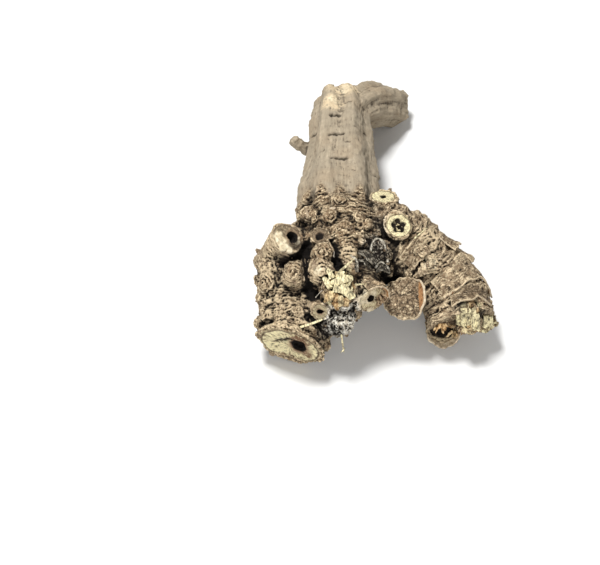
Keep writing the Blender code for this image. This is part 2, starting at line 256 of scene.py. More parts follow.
END_STUBS = (
    stub("second_cut", (-9.8, -31.5, 9.5), (0.1, -0.98, -0.17), 12, 4.0, "cut", 0.8),
    stub("right_end_pale", (42.6, -24.2, 15.5), (0.25, -0.94, 0.25), 12, 5.0, "bud", 0, 16, crumble=0.6),
    stub("right_end_side", (50.0, -23.2, 11), (0.4, -0.91, 0.1), 12, 3.5, "broken", crumble=0.3),
    stub(
        "right_end_hollow", (34.2, -25, 10.5), (-0.05, -0.99, 0.1), 12, 5.6, "cut", 4.5, 18,
        crumble=0.9, hole_tall=0.6,
    ),
)

LOWER_STUBS = (
    stub("rear_rootlet", (-14, 22, 12), (-0.75, 0.5, -0.4), 13, 3.4, "broken", crumble=0.4),
    stub("under_rootlet", (4, 10, 2.4), (0.1, 0.2, -0.97), 10, 3.6, "broken"),
    stub("left_side_stub", (-28, 0, 14), (-0.95, 0.2, -0.2), 14, 4.6, "cut", 1.2, 16, crumble=0.4),
    stub("front_under_knob", (2, -15, 8), (0.1, -0.6, -0.75), 10, 4.4),
    stub("plate_rest", (19.0, -16.5, 19.5), (-0.15, -0.55, 0.82), 11, 5.2, "bud", 0, 16),
    stub("right_under_bud", (22, 14, 14), (0.7, 0.6, -0.3), 12, 4.0),
    stub("taproot_rootlet", (5, 44, 9.5), (0.35, 0.25, -0.9), 9, 2.2, "broken", 0, 12, crumble=0.1),
    stub("far_rootlet", (-9, 62, 15), (-0.75, 0.2, -0.6), 9, 2.0, "broken", 0, 12, crumble=0.1),
)

RIDGE = Limb(
    "neck_ridge",
    ((0.1, 9, 34), (0.2, 0, 37), (0.4, -8, 36), (0.8, -15.5, 33)),
    (3.4, 3.6, 3.5, 3.2),
    sides=14,
    rings=0.4,
    crumble=0.3,
)

LIMBS = (*MAIN_LIMBS, *UPPER_STUBS, *END_STUBS, *LOWER_STUBS, RIDGE)
# How fresh and yellow a cut or torn face is, from 0 for weathered to 1.
FRESH = {
    "left_trunk": 0.8,
    "hollow_stub": 0.1,
    "small_hollow_stub": 0.05,
    "ring_scar": 0.3,
    "collar_stub": 0.85,
    "starred_stub": 0.9,
    "pale_stub": 0.75,
    "split_knob": 1.0,
    "right_trunk": 0.1,
    "right_end_pale": 1.0,
    "right_end_side": 1.0,
    "right_end_hollow": 0.3,
    "second_cut": 0.1,
    "pale_scar": 0.5,
}
# How far the wood has browned round the pith of a cut face.
BROWNED = {"left_trunk": 1.0, "hollow_stub": 0.5, "collar_stub": 0.25, "starred_stub": 0.0, "ring_scar": 0.9}
SKIN_MARKS = (
    *("along", "age", "crumble", "wood", "sawn", "fresh", "pith", "halo", "tone"),
    *("crack", "pale", "cream", "grey", "ash", "brown", "dark", "frizz", "shed"),
)
SMOOTH_ROOTLETS = ("side_rootlet", "taproot_rootlet", "far_rootlet")

# A plate of bark that has sprung loose from the right trunk and curls at its free edge.
PLATE_MIDDLE = (20.4, -19.4, 23.4)
PLATE_FACING = (-0.15, -0.34, 0.93)
PLATE_WIDTH = 15.4
PLATE_LENGTH = 15.0
PLATE_THICK = 0.7
PLATE_CURL = 2.7
PLATE_CORNER = 2.2
PLATE_ROLLED = 10

SCALE_THICK = 0.6
CURL_THICK = 0.8


class Scale(NamedTuple):
    """A curved scale of bark that lifts off a limb. Angles start at the limb's upper side."""

    limb: str
    ends_at: float
    length: float
    angle: float
    spread: float
    bow: float = 0.12
    lift: float = 2.2


SCALES = (
    Scale("right_trunk", 41.0, 9.0, -0.1, 1.9, 0.5, 1.4),
    Scale("right_trunk", 48.0, 6.0, 0.0, 1.3, 0.35, 1.6),
    Scale("right_trunk", 36.0, 7.0, -1.15, 0.8),
    Scale("right_trunk", 30.0, 6.5, -0.75, 0.7),
    Scale("right_trunk", 24.0, 6.0, 0.55, 0.8),
    Scale("right_end_hollow", 14.0, 7.0, 3.3, 2.6, -0.25, 1.0),
    Scale("pale_stub", 17.2, 6.0, -0.7, 2.0, 0.1, 0.9),
)

# Speckled dry finishes: three tones from dark to light, how fine the grain is and how deep.
SPECKLES = {
    "sheet_inside": ((0.12, 0.055, 0.02), (0.34, 0.17, 0.07), (0.5, 0.3, 0.14), 0.7, 0.5),
    "sheet_rim": ((0.25, 0.18, 0.11), (0.55, 0.44, 0.30), (0.75, 0.65, 0.48), 0.7, 0.5),
    # The curls: their faces painted in shade, their rims with a painted highlight.
    "curl_shade": ((0.006, 0.005, 0.004), (0.042, 0.035, 0.026), (0.44, 0.39, 0.3), 1.1, 0.5),
    "curl_rim_highlight": ((0.1, 0.085, 0.06), (0.42, 0.38, 0.3), (0.85, 0.8, 0.68), 1.2, 0.5),
    "flake_bark": ((0.06, 0.04, 0.025), (0.30, 0.22, 0.14), (0.62, 0.52, 0.37), 0.4, 0.5),
    "crumb_bark": ((0.03, 0.02, 0.012), (0.20, 0.14, 0.085), (0.55, 0.45, 0.31), 0.5, 0.5),
    "fibre": ((0.22, 0.18, 0.13), (0.5, 0.44, 0.35), (0.75, 0.7, 0.6), 0.2, 0.2),
    "frizz": ((0.2, 0.165, 0.12), (0.78, 0.7, 0.56), (1.0, 0.94, 0.82), 0.5, 0.2),
}

# Curled flakes in the dark hollow beside the neck, painted in shade on their faces with a painted highlight
# on their rims: points along each, its width's direction, half its width and how far its edges turn up.
CURLS = (
    (((3.0, -7.2, 34.5), (6.5, -8.3, 35.6), (9.9, -11.4, 33.6)), (-0.45, -0.6, 0.66), 2.3, 1.2),
    (((3.6, -9.4, 33.6), (6.6, -10.9, 33.4), (8.4, -12.4, 31.4)), (-0.5, -0.4, 0.76), 1.6, 0.8),
    (
        ((8.3, -8.4, 32.6), (10.0, -5.9, 35.8), (12.8, -6.6, 35.6), (14.0, -9.8, 32.6)),
        *((0.2, -0.6, -0.5), 2.1, -1.1),
    ),
    (((9.8, -12.6, 30.4), (12.0, -12.2, 32.4), (14.4, -12.9, 30.6)), (0.1, -0.6, -0.6), 1.5, -0.7),
    (((1.0, -11.6, 37.4), (2.7, -13.2, 37.0), (3.4, -16.2, 35.0)), (0.6, -0.3, 0.5), 1.0, 0.6),
    (((6.0, -4.0, 36.0), (8.0, -2.2, 36.8), (10.6, -3.2, 36.2)), (0.1, -0.7, 0.5), 1.0, 0.5),
)

# Torn wood: where its splinters stand, the way that they point, how far they spread, how long and wide
# the largest is, how many, and how brown they are.
TORN_WOOD = (
    ((-3.0, -20.6, 36.2), (-0.2, -0.2, 0.95), 3.2, (3.0, 1.2), 9, -0.1),
    ((-2.6, -25.2, 32.6), (0.0, -0.75, 0.66), 3.6, (2.4, 1.6), 16, 0.8),
    ((50.2, -22.6, 12.8), (0.35, -0.9, -0.1), 2.4, (2.2, 1.4), 6, 0.2),
    ((18.0, 1.4, 35.6), (0.1, -0.25, 0.96), 1.6, (1.9, 1.2), 8, 0.0),
    ((33.6, -25.2, 14.4), (0.1, -0.75, -0.65), 3.8, (3.0, 1.3), 14, 1.0),
    ((37.8, -25.4, 10.6), (-0.2, -0.9, -0.2), 2.6, (2.6, 1.3), 8, 0.8),
)
# Single pieces of torn wood: from where, to where, how wide and thick, how brown and how pointed.
BLADES = (
    # On the split knob.
    ((-6.4, -22.9, 36.5), (-8.5, -20.9, 37.8), 2.3, 0.8, -0.1, 0.7),
    ((-5.7, -20.4, 37.9), (-6.8, -17.9, 39.2), 1.9, 0.6, 0.0, 0.9),
    ((-3.3, -20.6, 38.0), (-1.2, -19.4, 39.4), 1.5, 0.6, -0.2, 0.9),
    ((-3.6, -22.6, 37.4), (0.6, -20.7, 37.8), 2.8, 1.0, -0.1, 0.2),
    ((-1.8, -24.6, 36.2), (2.0, -26.8, 33.8), 3.1, 1.0, -0.15, 0.3),
    ((-3.9, -24.8, 36.6), (-0.4, -25.5, 36.0), 2.6, 1.0, 0.05, 0.3),
    ((-3.8, -23.1, 37.3), (-6.0, -22.6, 37.7), 1.6, 0.6, -0.1, 0.8),
    ((-5.5, -25.5, 35.1), (-6.0, -27.5, 33.6), 1.9, 0.9, 0.6, 0.4),
    ((-4.1, -26.3, 34.9), (-4.3, -28.2, 32.9), 1.8, 0.9, 0.9, 0.4),
    ((-2.5, -26.9, 34.4), (-2.3, -28.8, 32.0), 2.0, 0.9, 0.45, 0.4),
    ((-0.8, -27.3, 33.8), (-0.3, -28.7, 31.8), 1.7, 0.9, 0.8, 0.4),
    ((-4.3, -28.0, 32.6), (-3.3, -29.2, 30.8), 1.6, 0.8, 1.0, 0.5),
    ((-6.9, -25.9, 34.0), (-7.6, -27.4, 32.2), 1.6, 0.8, 0.8, 0.5),
    # At the end of the right trunk.
    ((38.2, -24.2, 21.2), (39.0, -26.4, 16.6), 1.9, 1.6, 0.0, 0.1),
    ((39.7, -24.3, 22.0), (40.4, -27.5, 17.0), 2.0, 1.6, -0.1, 0.1),
    ((41.3, -24.5, 22.3), (41.9, -28.0, 17.2), 2.0, 1.6, 0.1, 0.1),
    ((43.1, -24.8, 22.0), (43.8, -28.3, 17.0), 2.0, 1.6, 0.0, 0.1),
    ((44.8, -25.6, 20.6), (45.6, -28.6, 16.2), 1.4, 1.3, -0.3, 0.2),
    ((48.3, -23.3, 16.5), (48.8, -25.4, 13.0), 1.9, 1.4, 0.1, 0.1),
    ((50.2, -23.0, 15.7), (51.0, -25.0, 12.4), 1.9, 1.4, 0.0, 0.1),
    ((40.8, -28.0, 16.5), (42.9, -28.7, 15.6), 1.8, 1.2, 0.25, 0.4),
    # Slivers and loose fibres.
    ((-14.6, -31.6, 24.6), (-7.0, -30.4, 27.6), 0.9, 0.35, -0.3, 1.0),
    ((-1.9, -32.0, 19.7), (-0.8, -36.6, 15.2), 0.6, 0.35, -0.3, 1.0),
    ((-1.05, -35.6, 16.2), (-2.2, -36.6, 15.0), 0.4, 0.3, -0.3, 1.0),
    ((-2.4, -18.4, 38.0), (2.6, -15.0, 41.0), 0.8, 0.4, -0.3, 1.0),
    ((3.4, -21.6, 34.6), (6.6, -20.4, 33.6), 0.6, 0.35, -0.2, 1.0),
    ((24.6, -0.9, 34.5), (28.6, 3.2, 34.3), 0.45, 0.3, -0.2, 1.0),
)

# Marks on the bark by kind: the place, reach and strength of each.
MARKS = {
    "wood": (  # torn open, down to the wood
        ((-1.8, -20.8, 36.6), 5.6, 1.0),
        ((-3.0, -25.0, 33.0), 4.6, 1.0),
        ((42.0, -22.6, 19.6), 5.2, 1.0),
        ((42.4, -25.6, 17.0), 3.4, 1.0),
        ((50.2, -22.6, 13.6), 3.2, 1.0),
    ),
    "bark": (  # bark that laps over a cut face
        ((-20.5, -31.5, -3.5), 9.6, 1.0),
        ((11.8, -22.0, 27.0), 3.4, 1.0),
    ),
    "pale": (  # worn bark
        ((-23.8, -7.0, 33.0), 7.0, 0.3),
        ((-25.5, -10.5, 28.0), 5.0, 0.75),
        ((-20.0, -21.0, 24.0), 12.0, 0.4),
        ((-8.8, -17.5, 37.0), 4.4, 0.6),
        ((27.3, -3.2, 31.0), 4.0, 0.5),
        ((28.9, -10.5, 30.5), 4.4, 0.9),
        ((29.5, 0.5, 34.0), 5.0, 0.5),
        ((0.5, -11.5, 38.0), 4.5, 0.6),
        ((6.2, -26.9, 29.0), 2.6, 0.5),
        ((-3.8, 63.5, 33.0), 5.0, 0.8),
        ((0.7, 74.0, 30.0), 7.0, 0.6),
        ((-14.0, -30.0, 24.0), 3.0, 0.6),
    ),
    "cream": (  # bared inner bark
        ((-23.1, -3.5, 38.2), 1.9, 1.0),
        ((-22.4, -5.8, 37.8), 2.0, 1.0),
        ((-21.4, -7.5, 36.8), 2.0, 1.0),
        ((-19.7, -8.4, 36.2), 1.3, 0.9),
        ((-16.3, -2.5, 36.4), 1.2, 0.9),
        ((-16.6, -4.8, 36.0), 1.1, 0.9),
        ((6.6, -23.6, 31.2), 3.6, 0.7),
        ((7.8, -25.4, 24.4), 2.0, 0.8),
        ((-3.6, 64.5, 33.0), 2.6, 0.6),
        ((1.6, 73.0, 30.5), 3.2, 0.45),
        ((-10.4, -17.5, 38.0), 1.8, 0.8),
        ((-6.6, -17.0, 38.2), 1.6, 0.8),
        ((28.4, -10.4, 31.2), 2.2, 0.7),
    ),
    "dark": (  # in deep shade
        ((7.6, -24.0, 30.2), 1.1, 0.9),
        ((11.5, -13.0, 28.0), 6.0, 1.0),
        ((9.8, -9.0, 31.5), 8.0, 1.0),
        ((-5.8, -31.8, 20.0), 5.2, 1.0),
        ((-14.5, -9.0, 31.0), 3.5, 0.7),
        ((34.8, -24.0, 10.0), 3.4, 0.5),
        ((-17.4, -5.4, 36.0), 2.6, 0.8),
        ((46.2, -23.6, 20.4), 2.3, 0.9),
        ((38.8, -22.8, 23.2), 2.6, 0.95),
        ((46.0, -22.4, 16.4), 2.2, 0.9),
        ((37.8, -22.1, 24.4), 3.0, 1.0),
        ((-10.5, 17.5, 34.0), 3.5, 0.45),
        ((-1.5, 13.5, 38.5), 3.0, 0.5),
    ),
    "brown": (  # damp or rotten
        ((-16.2, -33.4, 18.4), 4.2, 1.0),
        ((-13.2, -32.5, 9.4), 3.0, 0.8),
        ((8.5, -27.5, 24.5), 4.0, 0.7),
        ((7.4, -24.0, 30.0), 2.6, 0.9),
        ((11.6, -22.6, 28.0), 3.0, 0.8),
        ((32.5, -12.4, 28.0), 3.0, 0.7),
        ((-12.5, -24.0, 28.0), 4.0, 0.5),
        ((3.5, -15.0, 34.0), 3.6, 0.55),
        ((-14.0, -2.0, 33.0), 4.0, 0.4),
        ((37.0, -25.0, 12.5), 5.5, 0.6),
        ((9.8, -22.0, 31.0), 4.5, 0.5),
    ),
    "grey": (  # weathered grey, partly painted shade as in the hollow beside the neck
        ((9.0, -7.0, 34.0), 6.5, 1.0),
        ((11.5, 2.0, 34.0), 6.0, 0.5),
        ((9.5, 11.0, 34.0), 5.0, 0.4),
    ),
    "ash": (  # furred with grey
        ((-1.0, -30.6, 25.5), 9.0, 1.0),
    ),
    "calm": (  # less broken up
        ((0.0, 5.0, 38.0), 10.0, 0.75),
        ((2.0, 12.0, 38.0), 7.0, 0.5),
        ((23.0, 4.0, 33.0), 9.0, 0.5),
        ((38.0, -3.0, 25.0), 7.0, 0.45),
    ),
    "hole": (  # pores in a cut face, painted near black as shade
        ((-24.4, -30.8, 12.9), 0.88, 1.0),
        ((-23.5, -31.2, 14.3), 1.05, 1.0),
        ((-22.7, -31.4, 14.4), 0.88, 1.0),
        ((-21.9, -31.8, 15.9), 1.31, 1.0),
        ((-21.0, -32.1, 16.1), 0.88, 1.0),
        ((-20.1, -32.4, 17.2), 1.22, 1.0),
        ((-19.2, -32.6, 17.1), 0.96, 1.0),
        ((-18.8, -32.6, 15.0), 0.88, 1.0),
    ),
    "frizz": (  # covered with fine fibres
        ((-0.5, -30.6, 27.0), 5.0, 1.0),
        ((9.0, -8.0, 34.5), 5.0, 0.04),
    ),
}
# How sharply a mark ends: the shares of its reach where it begins and is full, and how ragged it is.
MARK_EDGES = {"wood": (1.05, 0.85, 0.9), "bark": (1.0, 0.95, 0.9), "cream": (1.1, 0.8, 0.4)}
SOFT_EDGE = (1.25, 0.55, 0.0)
# Marks that are kept as they are, and how many times the others are spread to their neighbours.
COLOUR_MARKS = ("pale", "cream", "grey", "ash", "brown", "dark", "frizz")
SPREAD_ROUNDS = {"age": 6, "crumble": 5, "wood": 1, "tone": 6, "fresh": 2}

# Short cracks across the taproot: a place, half the length and the depth.
CRACKS = (
    ((-3.2, 56.3, 34.0), 3.2, 1.4),
    ((-2.6, 46.3, 35.5), 3.8, 1.5),
    ((-1.8, 34.1, 36.5), 4.2, 1.3),
    ((1.4, 42.0, 35.5), 1.8, 0.8),
    ((4.5, 50.0, 34.0), 1.8, 0.8),
    ((-8.0, 38.0, 33.0), 2.6, 0.8),
    ((2.4, 63.5, 33.0), 2.2, 0.8),
)
RANDOM_CRACKS = 26

RIGHT = Vector((1, 0, 0))
FOCAL_PX = 1100.0
PHOTO_SIZE = (600, 565)
CAMERA_RISE = math.radians(55)
CAMERA_REACH = 390.0
CROWN_PIXEL = (345, 255)
CROWN_TOP = Vector((0, 0, 22))


# ---- settings -------------------------------------------------------------------------------------


class BarkSettings(bpy.types.PropertyGroup):
    """Sizes and colours of the skin."""

    grain: FloatProperty(name="Grain", description="Edge of the skin's facets", default=0.0004, unit="LENGTH")
    wrinkle_pitch: FloatProperty(
        name="Wrinkle pitch",
        description="From one wrinkle round a limb to the next",
        default=0.0015,
        unit="LENGTH",
    )
    wrinkle_depth: FloatProperty(
        name="Wrinkle depth", description="Depth of the wrinkles round a limb", default=0.00044, unit="LENGTH"
    )
    line_pitch: FloatProperty(
        name="Line pitch",
        description="From one fine line in the bark to the next",
        default=0.00095,
        unit="LENGTH",
    )
    crumb_size: FloatProperty(
        name="Crumb size", description="Width of a grain of broken bark", default=0.0021, unit="LENGTH"
    )
    crumb_height: FloatProperty(
        name="Crumb height", description="Height of a grain of broken bark", default=0.0005, unit="LENGTH"
    )
    fibre_depth: FloatProperty(
        name="Fibre depth",
        description="Depth of the furrows along the taproot",
        default=0.00045,
        unit="LENGTH",
    )
    taproot_colour: FloatVectorProperty(
        name="Taproot", description="Bark of the taproot", subtype="COLOR", default=(0.412, 0.343, 0.247)
    )
    crown_colour: FloatVectorProperty(
        name="Crown", description="Bark of the crown", subtype="COLOR", default=(0.278, 0.186, 0.105)
    )
    # Pale worn tops of the grains; the same colour paints their highlights.
    crest_wear_and_highlight_colour: FloatVectorProperty(
        name="Crests",
        description="Worn tops of the bark's grains",
        subtype="COLOR",
        default=(0.66, 0.525, 0.338),
    )
    wood_colour: FloatVectorProperty(
        name="Wood", description="Wood where it is cut or torn", subtype="COLOR", default=(0.82, 0.71, 0.43)
    )
    # The soil colour darkens the bark's dark cracks. It is also the colour of the painted shade in the
    # crevices and on the dark marks.
    soil_and_shade_colour: FloatVectorProperty(
        name="Soil", description="Dark soil in the crevices", subtype="COLOR", default=(0.010, 0.007, 0.005)
    )


class LooseSettings(bpy.types.PropertyGroup):
    """Sizes and densities of what lies loose on the bark."""

    flake_density: FloatProperty(
        name="Flakes", description="Flakes on a square metre of rough bark", default=30000
    )
    flake_size: FloatProperty(
        name="Flake size", description="Length of the largest flake", default=0.0034, unit="LENGTH"
    )
    crumb_density: FloatProperty(
        name="Crumbs", description="Crumbs on a square metre of rough bark", default=60000
    )
    crumb_size: FloatProperty(
        name="Crumb size", description="Width of the largest crumb", default=0.0011, unit="LENGTH"
    )
    fibre_density: FloatProperty(
        name="Fibres", description="Fibres on a square metre of rough bark", default=1800
    )
    fibre_length: FloatProperty(
        name="Fibre length", description="Length of the longest fibre", default=0.005, unit="LENGTH"
    )
    frizz_density: FloatProperty(
        name="Frizz", description="Fibres on a square metre of the frizzy knob", default=360000
    )
    frizz_length: FloatProperty(
        name="Frizz length",
        description="Length of the longest frizz",
        default=0.0024,
        unit="LENGTH",
    )


class StageSettings(bpy.types.PropertyGroup):
    """Floor and light."""

    floor_colour: FloatVectorProperty(
        name="Floor", description="Colour of the floor", subtype="COLOR", default=(0.80, 0.80, 0.79)
    )
    key_power: FloatProperty(
        name="Key light", description="Power of the overhead light", default=5.2, unit="POWER"
    )
    fill_power: FloatProperty(
        name="Fill light", description="Power of the fill light", default=2.2, unit="POWER"
    )
    sky: FloatProperty(name="Sky", description="Strength of the even light from all round", default=0.28)


# ---- node trees -----------------------------------------------------------------------------------


class Wire:
    """A node's output. Arithmetic with it adds a math node to its tree."""

    def __init__(self, tree, socket):
        self.tree = tree
        self.socket = socket

    def beside(self, name):
        """Another output of the same node."""
        return Wire(self.tree, self.socket.node.outputs[name])

    def __add__(self, other):
        return self.tree.math("ADD", self, other)

    def __sub__(self, other):
        return self.tree.math("SUBTRACT", self, other)

    def __rsub__(self, other):
        return self.tree.math("SUBTRACT", other, self)

    def __mul__(self, other):
        return self.tree.math("MULTIPLY", self, other)

    def __truediv__(self, other):
        return self.tree.math("DIVIDE", self, other)

    def __rtruediv__(self, other):
        return self.tree.math("DIVIDE", other, self)

    def __pow__(self, other):
        return self.tree.math("POWER", self, other)

    def __abs__(self):
        return self.tree.math("ABSOLUTE", self)


class Tree:
    """Adds nodes to a tree. An input takes a value, a wire or another node's output."""

    def __init__(self, tree):
        self.tree = tree

    def add(self, kind, inputs=None, out=0, **settings):
        node = self.tree.nodes.new(kind)
        for key, value in settings.items():
            setattr(node, key, value)
        for key, value in (inputs or {}).items():
            self.give(node.inputs[key], value)
        return Wire(self, node.outputs[out])

    def give(self, socket, value):
        if isinstance(value, Wire):
            value = value.socket
        if isinstance(value, bpy.types.NodeSocket):
            self.tree.links.new(value, socket)
        else:
            socket.default_value = value

    def math(self, operation, *values, clamp=False):
        inputs = dict(enumerate(values))
        return self.add("ShaderNodeMath", inputs, operation=operation, use_clamp=clamp)

    def rest_of(self, share):
        """What a share leaves of one."""
        return self.math("SUBTRACT", 1.0, share, clamp=True)

    def sine(self, turns):
        return self.math("SINE", turns)

    def vector_math(self, operation, *values, out=0):
        return self.add("ShaderNodeVectorMath", dict(enumerate(values)), out, operation=operation)

    def scaled(self, vector, scale):
        return self.add("ShaderNodeVectorMath", {0: vector, "Scale": scale}, operation="SCALE")

    def noise(self, vector, scale, detail=4.0, rough=0.55, out=0):
        inputs = {"Vector": vector, "Scale": scale, "Detail": detail, "Roughness": rough}
        return self.add("ShaderNodeTexNoise", inputs, out)

    def drift(self, vector, scale, detail):
        """A random vector that changes from place to place, about zero."""
        return self.vector_math("SUBTRACT", self.noise(vector, scale, detail, out=1), (0.5, 0.5, 0.5))

    def ramp(self, value, *stops):
        """A colour ramp through (place, colour) stops."""
        node = self.tree.nodes.new("ShaderNodeValToRGB")
        elements = node.color_ramp.elements
        while len(elements) < len(stops):
            elements.new(0.5)
        for element, (place, colour) in zip(elements, stops):
            element.position = place
            element.color = (*colour, 1.0)
        self.give(node.inputs[0], value)
        return Wire(self, node.outputs[0])

    def remap(self, value, low, high, to_low=0.0, to_high=1.0):
        inputs = {"Value": value, "From Min": low, "From Max": high, "To Min": to_low, "To Max": to_high}
        return self.add("ShaderNodeMapRange", inputs, interpolation_type="SMOOTHSTEP")

    def mix(self, share, first, second):
        node = self.tree.nodes.new("ShaderNodeMix")
        node.data_type = "RGBA"
        for socket, value in zip((node.inputs[0], node.inputs[6], node.inputs[7]), (share, first, second)):
            if isinstance(value, tuple) and len(value) == 3:
                value = (*value, 1.0)
            self.give(socket, value)
        return Wire(self, node.outputs[2])

    def bump(self, shader, height, strength, distance):
        """Roughens a shader's surface."""
        inputs = {"Height": height, "Strength": strength, "Distance": distance}
        self.give(shader.inputs["Normal"], self.add("ShaderNodeBump", inputs))

    def finished(self, geometry):
        """The tree of a geometry nodes group, closed with its result."""
        self.give(self.tree.nodes.new("NodeGroupOutput").inputs[0], geometry)
        return self.tree


def geometry_group(name, inputs):
    """A new geometry nodes group that takes a Geometry and the named inputs, and the wires of them all."""
    group = bpy.data.node_groups.new(name, "GeometryNodeTree")
    for label, kind in {"Geometry": "Geometry", **inputs}.items():
        group.interface.new_socket(label, in_out="INPUT", socket_type="NodeSocket" + kind)
    group.interface.new_socket("Geometry", in_out="OUTPUT", socket_type="NodeSocketGeometry")
    t = Tree(group)
    return t, {socket.name: Wire(t, socket) for socket in group.nodes.new("NodeGroupInput").outputs}


def tint(colour, by):
    """A colour made lighter or darker."""
    return tuple(min(1.0, c * by) for c in colour)


# ---- the limbs' form ------------------------------------------------------------------------------


def curve_through(points, radii, step, split):
    """Points and radii read along a smooth curve through the given ones."""
    knots = [Vector((*p, r)) for p, r in zip(points, radii)]
    knots = [knots[0] * 2 - knots[1], *knots, knots[-1] * 2 - knots[-2]]
    read = []
    for before, here, there, after in zip(knots, knots[1:], knots[2:], knots[3:]):
        count = split * max(1, round((there - here).xyz.length / step))
        for i in range(count):
            t = i / count
            bend = (here * 3 - before - there * 3 + after) * t + (before * 2 - here * 5 + there * 4 - after)
            read.append((((there - before) + bend * t) * t) * 0.5 + here)
    return [*read, knots[-2]]


def stations_of(limb, split=STATION_SPLIT):
    """For each station: its middle, radius, length so far, and the directions along, up and across."""
    read = curve_through(limb.points, limb.radii, STATION, split)
    along, up, found = 0.0, None, []
    for i, knot in enumerate(read):
        ahead = (read[min(i + 1, len(read) - 1)] - read[max(i - 1, 0)]).xyz.normalized()
        if up is None:
            up = Vector((0, 1, 0)) if abs(ahead.z) > 0.7 else Vector((0, 0, 1))
        up = (up - ahead * up.dot(ahead)).normalized()
        along += (knot - read[i - 1]).xyz.length if i else 0.0
        found.append((knot.xyz, knot.w, along, ahead, up, ahead.cross(up)))
    return found


def relief(limb, place, along, angle):
    """How far the bark stands out of the limb's plain radius at a place on it, in millimetres."""
    around = Vector((math.cos(angle), math.sin(angle), 0.0))
    wander = RING_WANDER * noise.noise(around * 1.6 + Vector((0, 0, along / 9)) + place * 0.02)
    ring = math.cos(2 * math.pi * (along / RING_PITCH + wander))
    rib = math.cos(RIBS * angle - RIB_TURN + 1.2 * noise.noise(around + Vector((0, 0, along / 30))))
    lump = noise.fractal(place / LUMP_SIZE, 0.7, 2.0, 3)
    swell = noise.noise(place / SWELL_SIZE)
    rough = limb.lumps * LUMP * lump + limb.swell * SWELL * swell
    return limb.rings * RING_DEPTH * ring + limb.ribs * RIB_DEPTH * rib + rough


def ring_of_points(limb, station, limb_end, share, rise=0.0, splinter=0.0):
    """The points round a limb at a station, its radius scaled by share and moved outwards by rise."""
    middle, radius, along, ahead, up, across = station
    sides = limb.sides * SIDE_SPLIT
    points = []
    for k in range(sides):
        angle = 2 * math.pi * k / sides
        spoke = up * math.cos(angle) + across * math.sin(angle)
        foot = middle + spoke * radius
        lip = LIP * math.exp(-(((limb_end - along) / LIP_REACH) ** 2)) if limb.end == "cut" else 0.0
        out = (radius + lip + relief(limb, foot, along, angle)) * share
        rough = splinter * noise.noise(foot * 0.45 + spoke * share * 3)
        points.append(middle + spoke * out + ahead * (rise + rough))
    return points


def end_rings(limb, station):
    """The rings that close a limb's outer end, and the point that they close on."""
    middle, radius, ends_at, ahead, up, across = station
    if limb.end == "bud":
        steps = 8
        turns = [math.pi / 2 * k / steps for k in range(1, steps)]
        rings = []
        for t in turns:
            rings.append(ring_of_points(limb, station, ends_at, math.cos(t), BLUNT * radius * math.sin(t)))
        return rings, middle + ahead * BLUNT * radius
    rough = SPLINTER if limb.end == "broken" else 0.0
    edge = ring_of_points(limb, station, ends_at, EDGE_SHARE, END_DOME, rough)
    rings = [edge, ring_of_points(limb, station, ends_at, EDGE_SHARE / 2, END_DOME, rough * 1.6)]
    if not limb.hole:
        return rings, middle + ahead * END_DOME
    shift = up * limb.hole_at[0] + across * limb.hole_at[1]
    rings[1:] = []
    for reach, rise in ((1.0, END_DOME), (HOLE_TAPER, -HOLE_DEPTH)):
        ring = ring_of_points(limb, station, ends_at, reach * limb.hole / radius, rise)
        rings.append([p + shift + up * (limb.hole_tall - 1) * up.dot(p - middle) for p in ring])
    return rings, middle + shift - ahead * HOLE_DEPTH


def placed(point):
    """A place in the tables, in the frame's metres."""
    return (Vector(point) - OUTLINE_MIDDLE) * MM


def limb_body(limb):
    """A closed mesh object for one limb."""
    stations = stations_of(limb)
    ends_at = stations[-1][2]
    rings = [ring_of_points(limb, station, ends_at, 1.0) for station in stations]
    closing, pole = end_rings(limb, stations[-1])
    rings += closing
    sides = len(rings[0])
    bm = bmesh.new()
    rows = [[bm.verts.new(placed(p)) for p in ring] for ring in rings]
    for low, high in zip(rows, rows[1:]):
        for k in range(sides):
            bm.faces.new((low[k], low[k - 1], high[k - 1], high[k]))
    for row, point in ((rows[0], stations[0][0]), (rows[-1], pole)):
        tip = bm.verts.new(placed(point))
        for k in range(sides):
            bm.faces.new((row[k - 1], row[k], tip))
    bmesh.ops.recalc_face_normals(bm, faces=bm.faces)
    return object_from(bm, limb.name)


def warts_on(limb, count, first, last, draw):
    """Small grains of bark sunk halfway into a limb, and the middle, size and top of each."""
    stations = stations_of(limb, 1)
    warts, domes = [], []
    for _ in range(count):
        station = stations[round((len(stations) - 1) * draw.uniform(first, last))]
        middle, radius, _, _, up, across = station
        angle, size = draw.uniform(0, 2 * math.pi), draw.uniform(*WART_R)
        spoke = up * math.cos(angle) + across * math.sin(angle)
        place = middle + spoke * (radius + 0.25 * size)
        bm = bmesh.new()
        bmesh.ops.create_icosphere(bm, subdivisions=3, radius=size)
        for v in bm.verts:
            v.co += v.co * 0.45 * noise.noise(v.co * 0.6 + place)
            v.co -= spoke * v.co.dot(spoke) * 0.3
            v.co = placed(v.co + place)
        warts.append(object_from(bm, "wart"))
        domes.append((place, size, spoke))
    return warts, domes


def object_from(bm, name):
    """A new object in the scene with the bmesh's shape."""
    mesh = bpy.data.meshes.new(name)
    bm.to_mesh(mesh)
    bm.free()
    made = bpy.data.objects.new(name, mesh)
    bpy.context.scene.collection.objects.link(made)
    return made


def above_floor(mesh):
    """Flattens what would go below the floor."""
    for v in mesh.vertices:
        v.co.z = max(v.co.z, 0.0)
    mesh.update()


def bake(obj):
    """Makes the object's modified shape its mesh."""
    graph = bpy.context.evaluated_depsgraph_get()
    mesh = bpy.data.meshes.new_from_object(obj.evaluated_get(graph))
    obj.modifiers.clear()
    obj.data = mesh


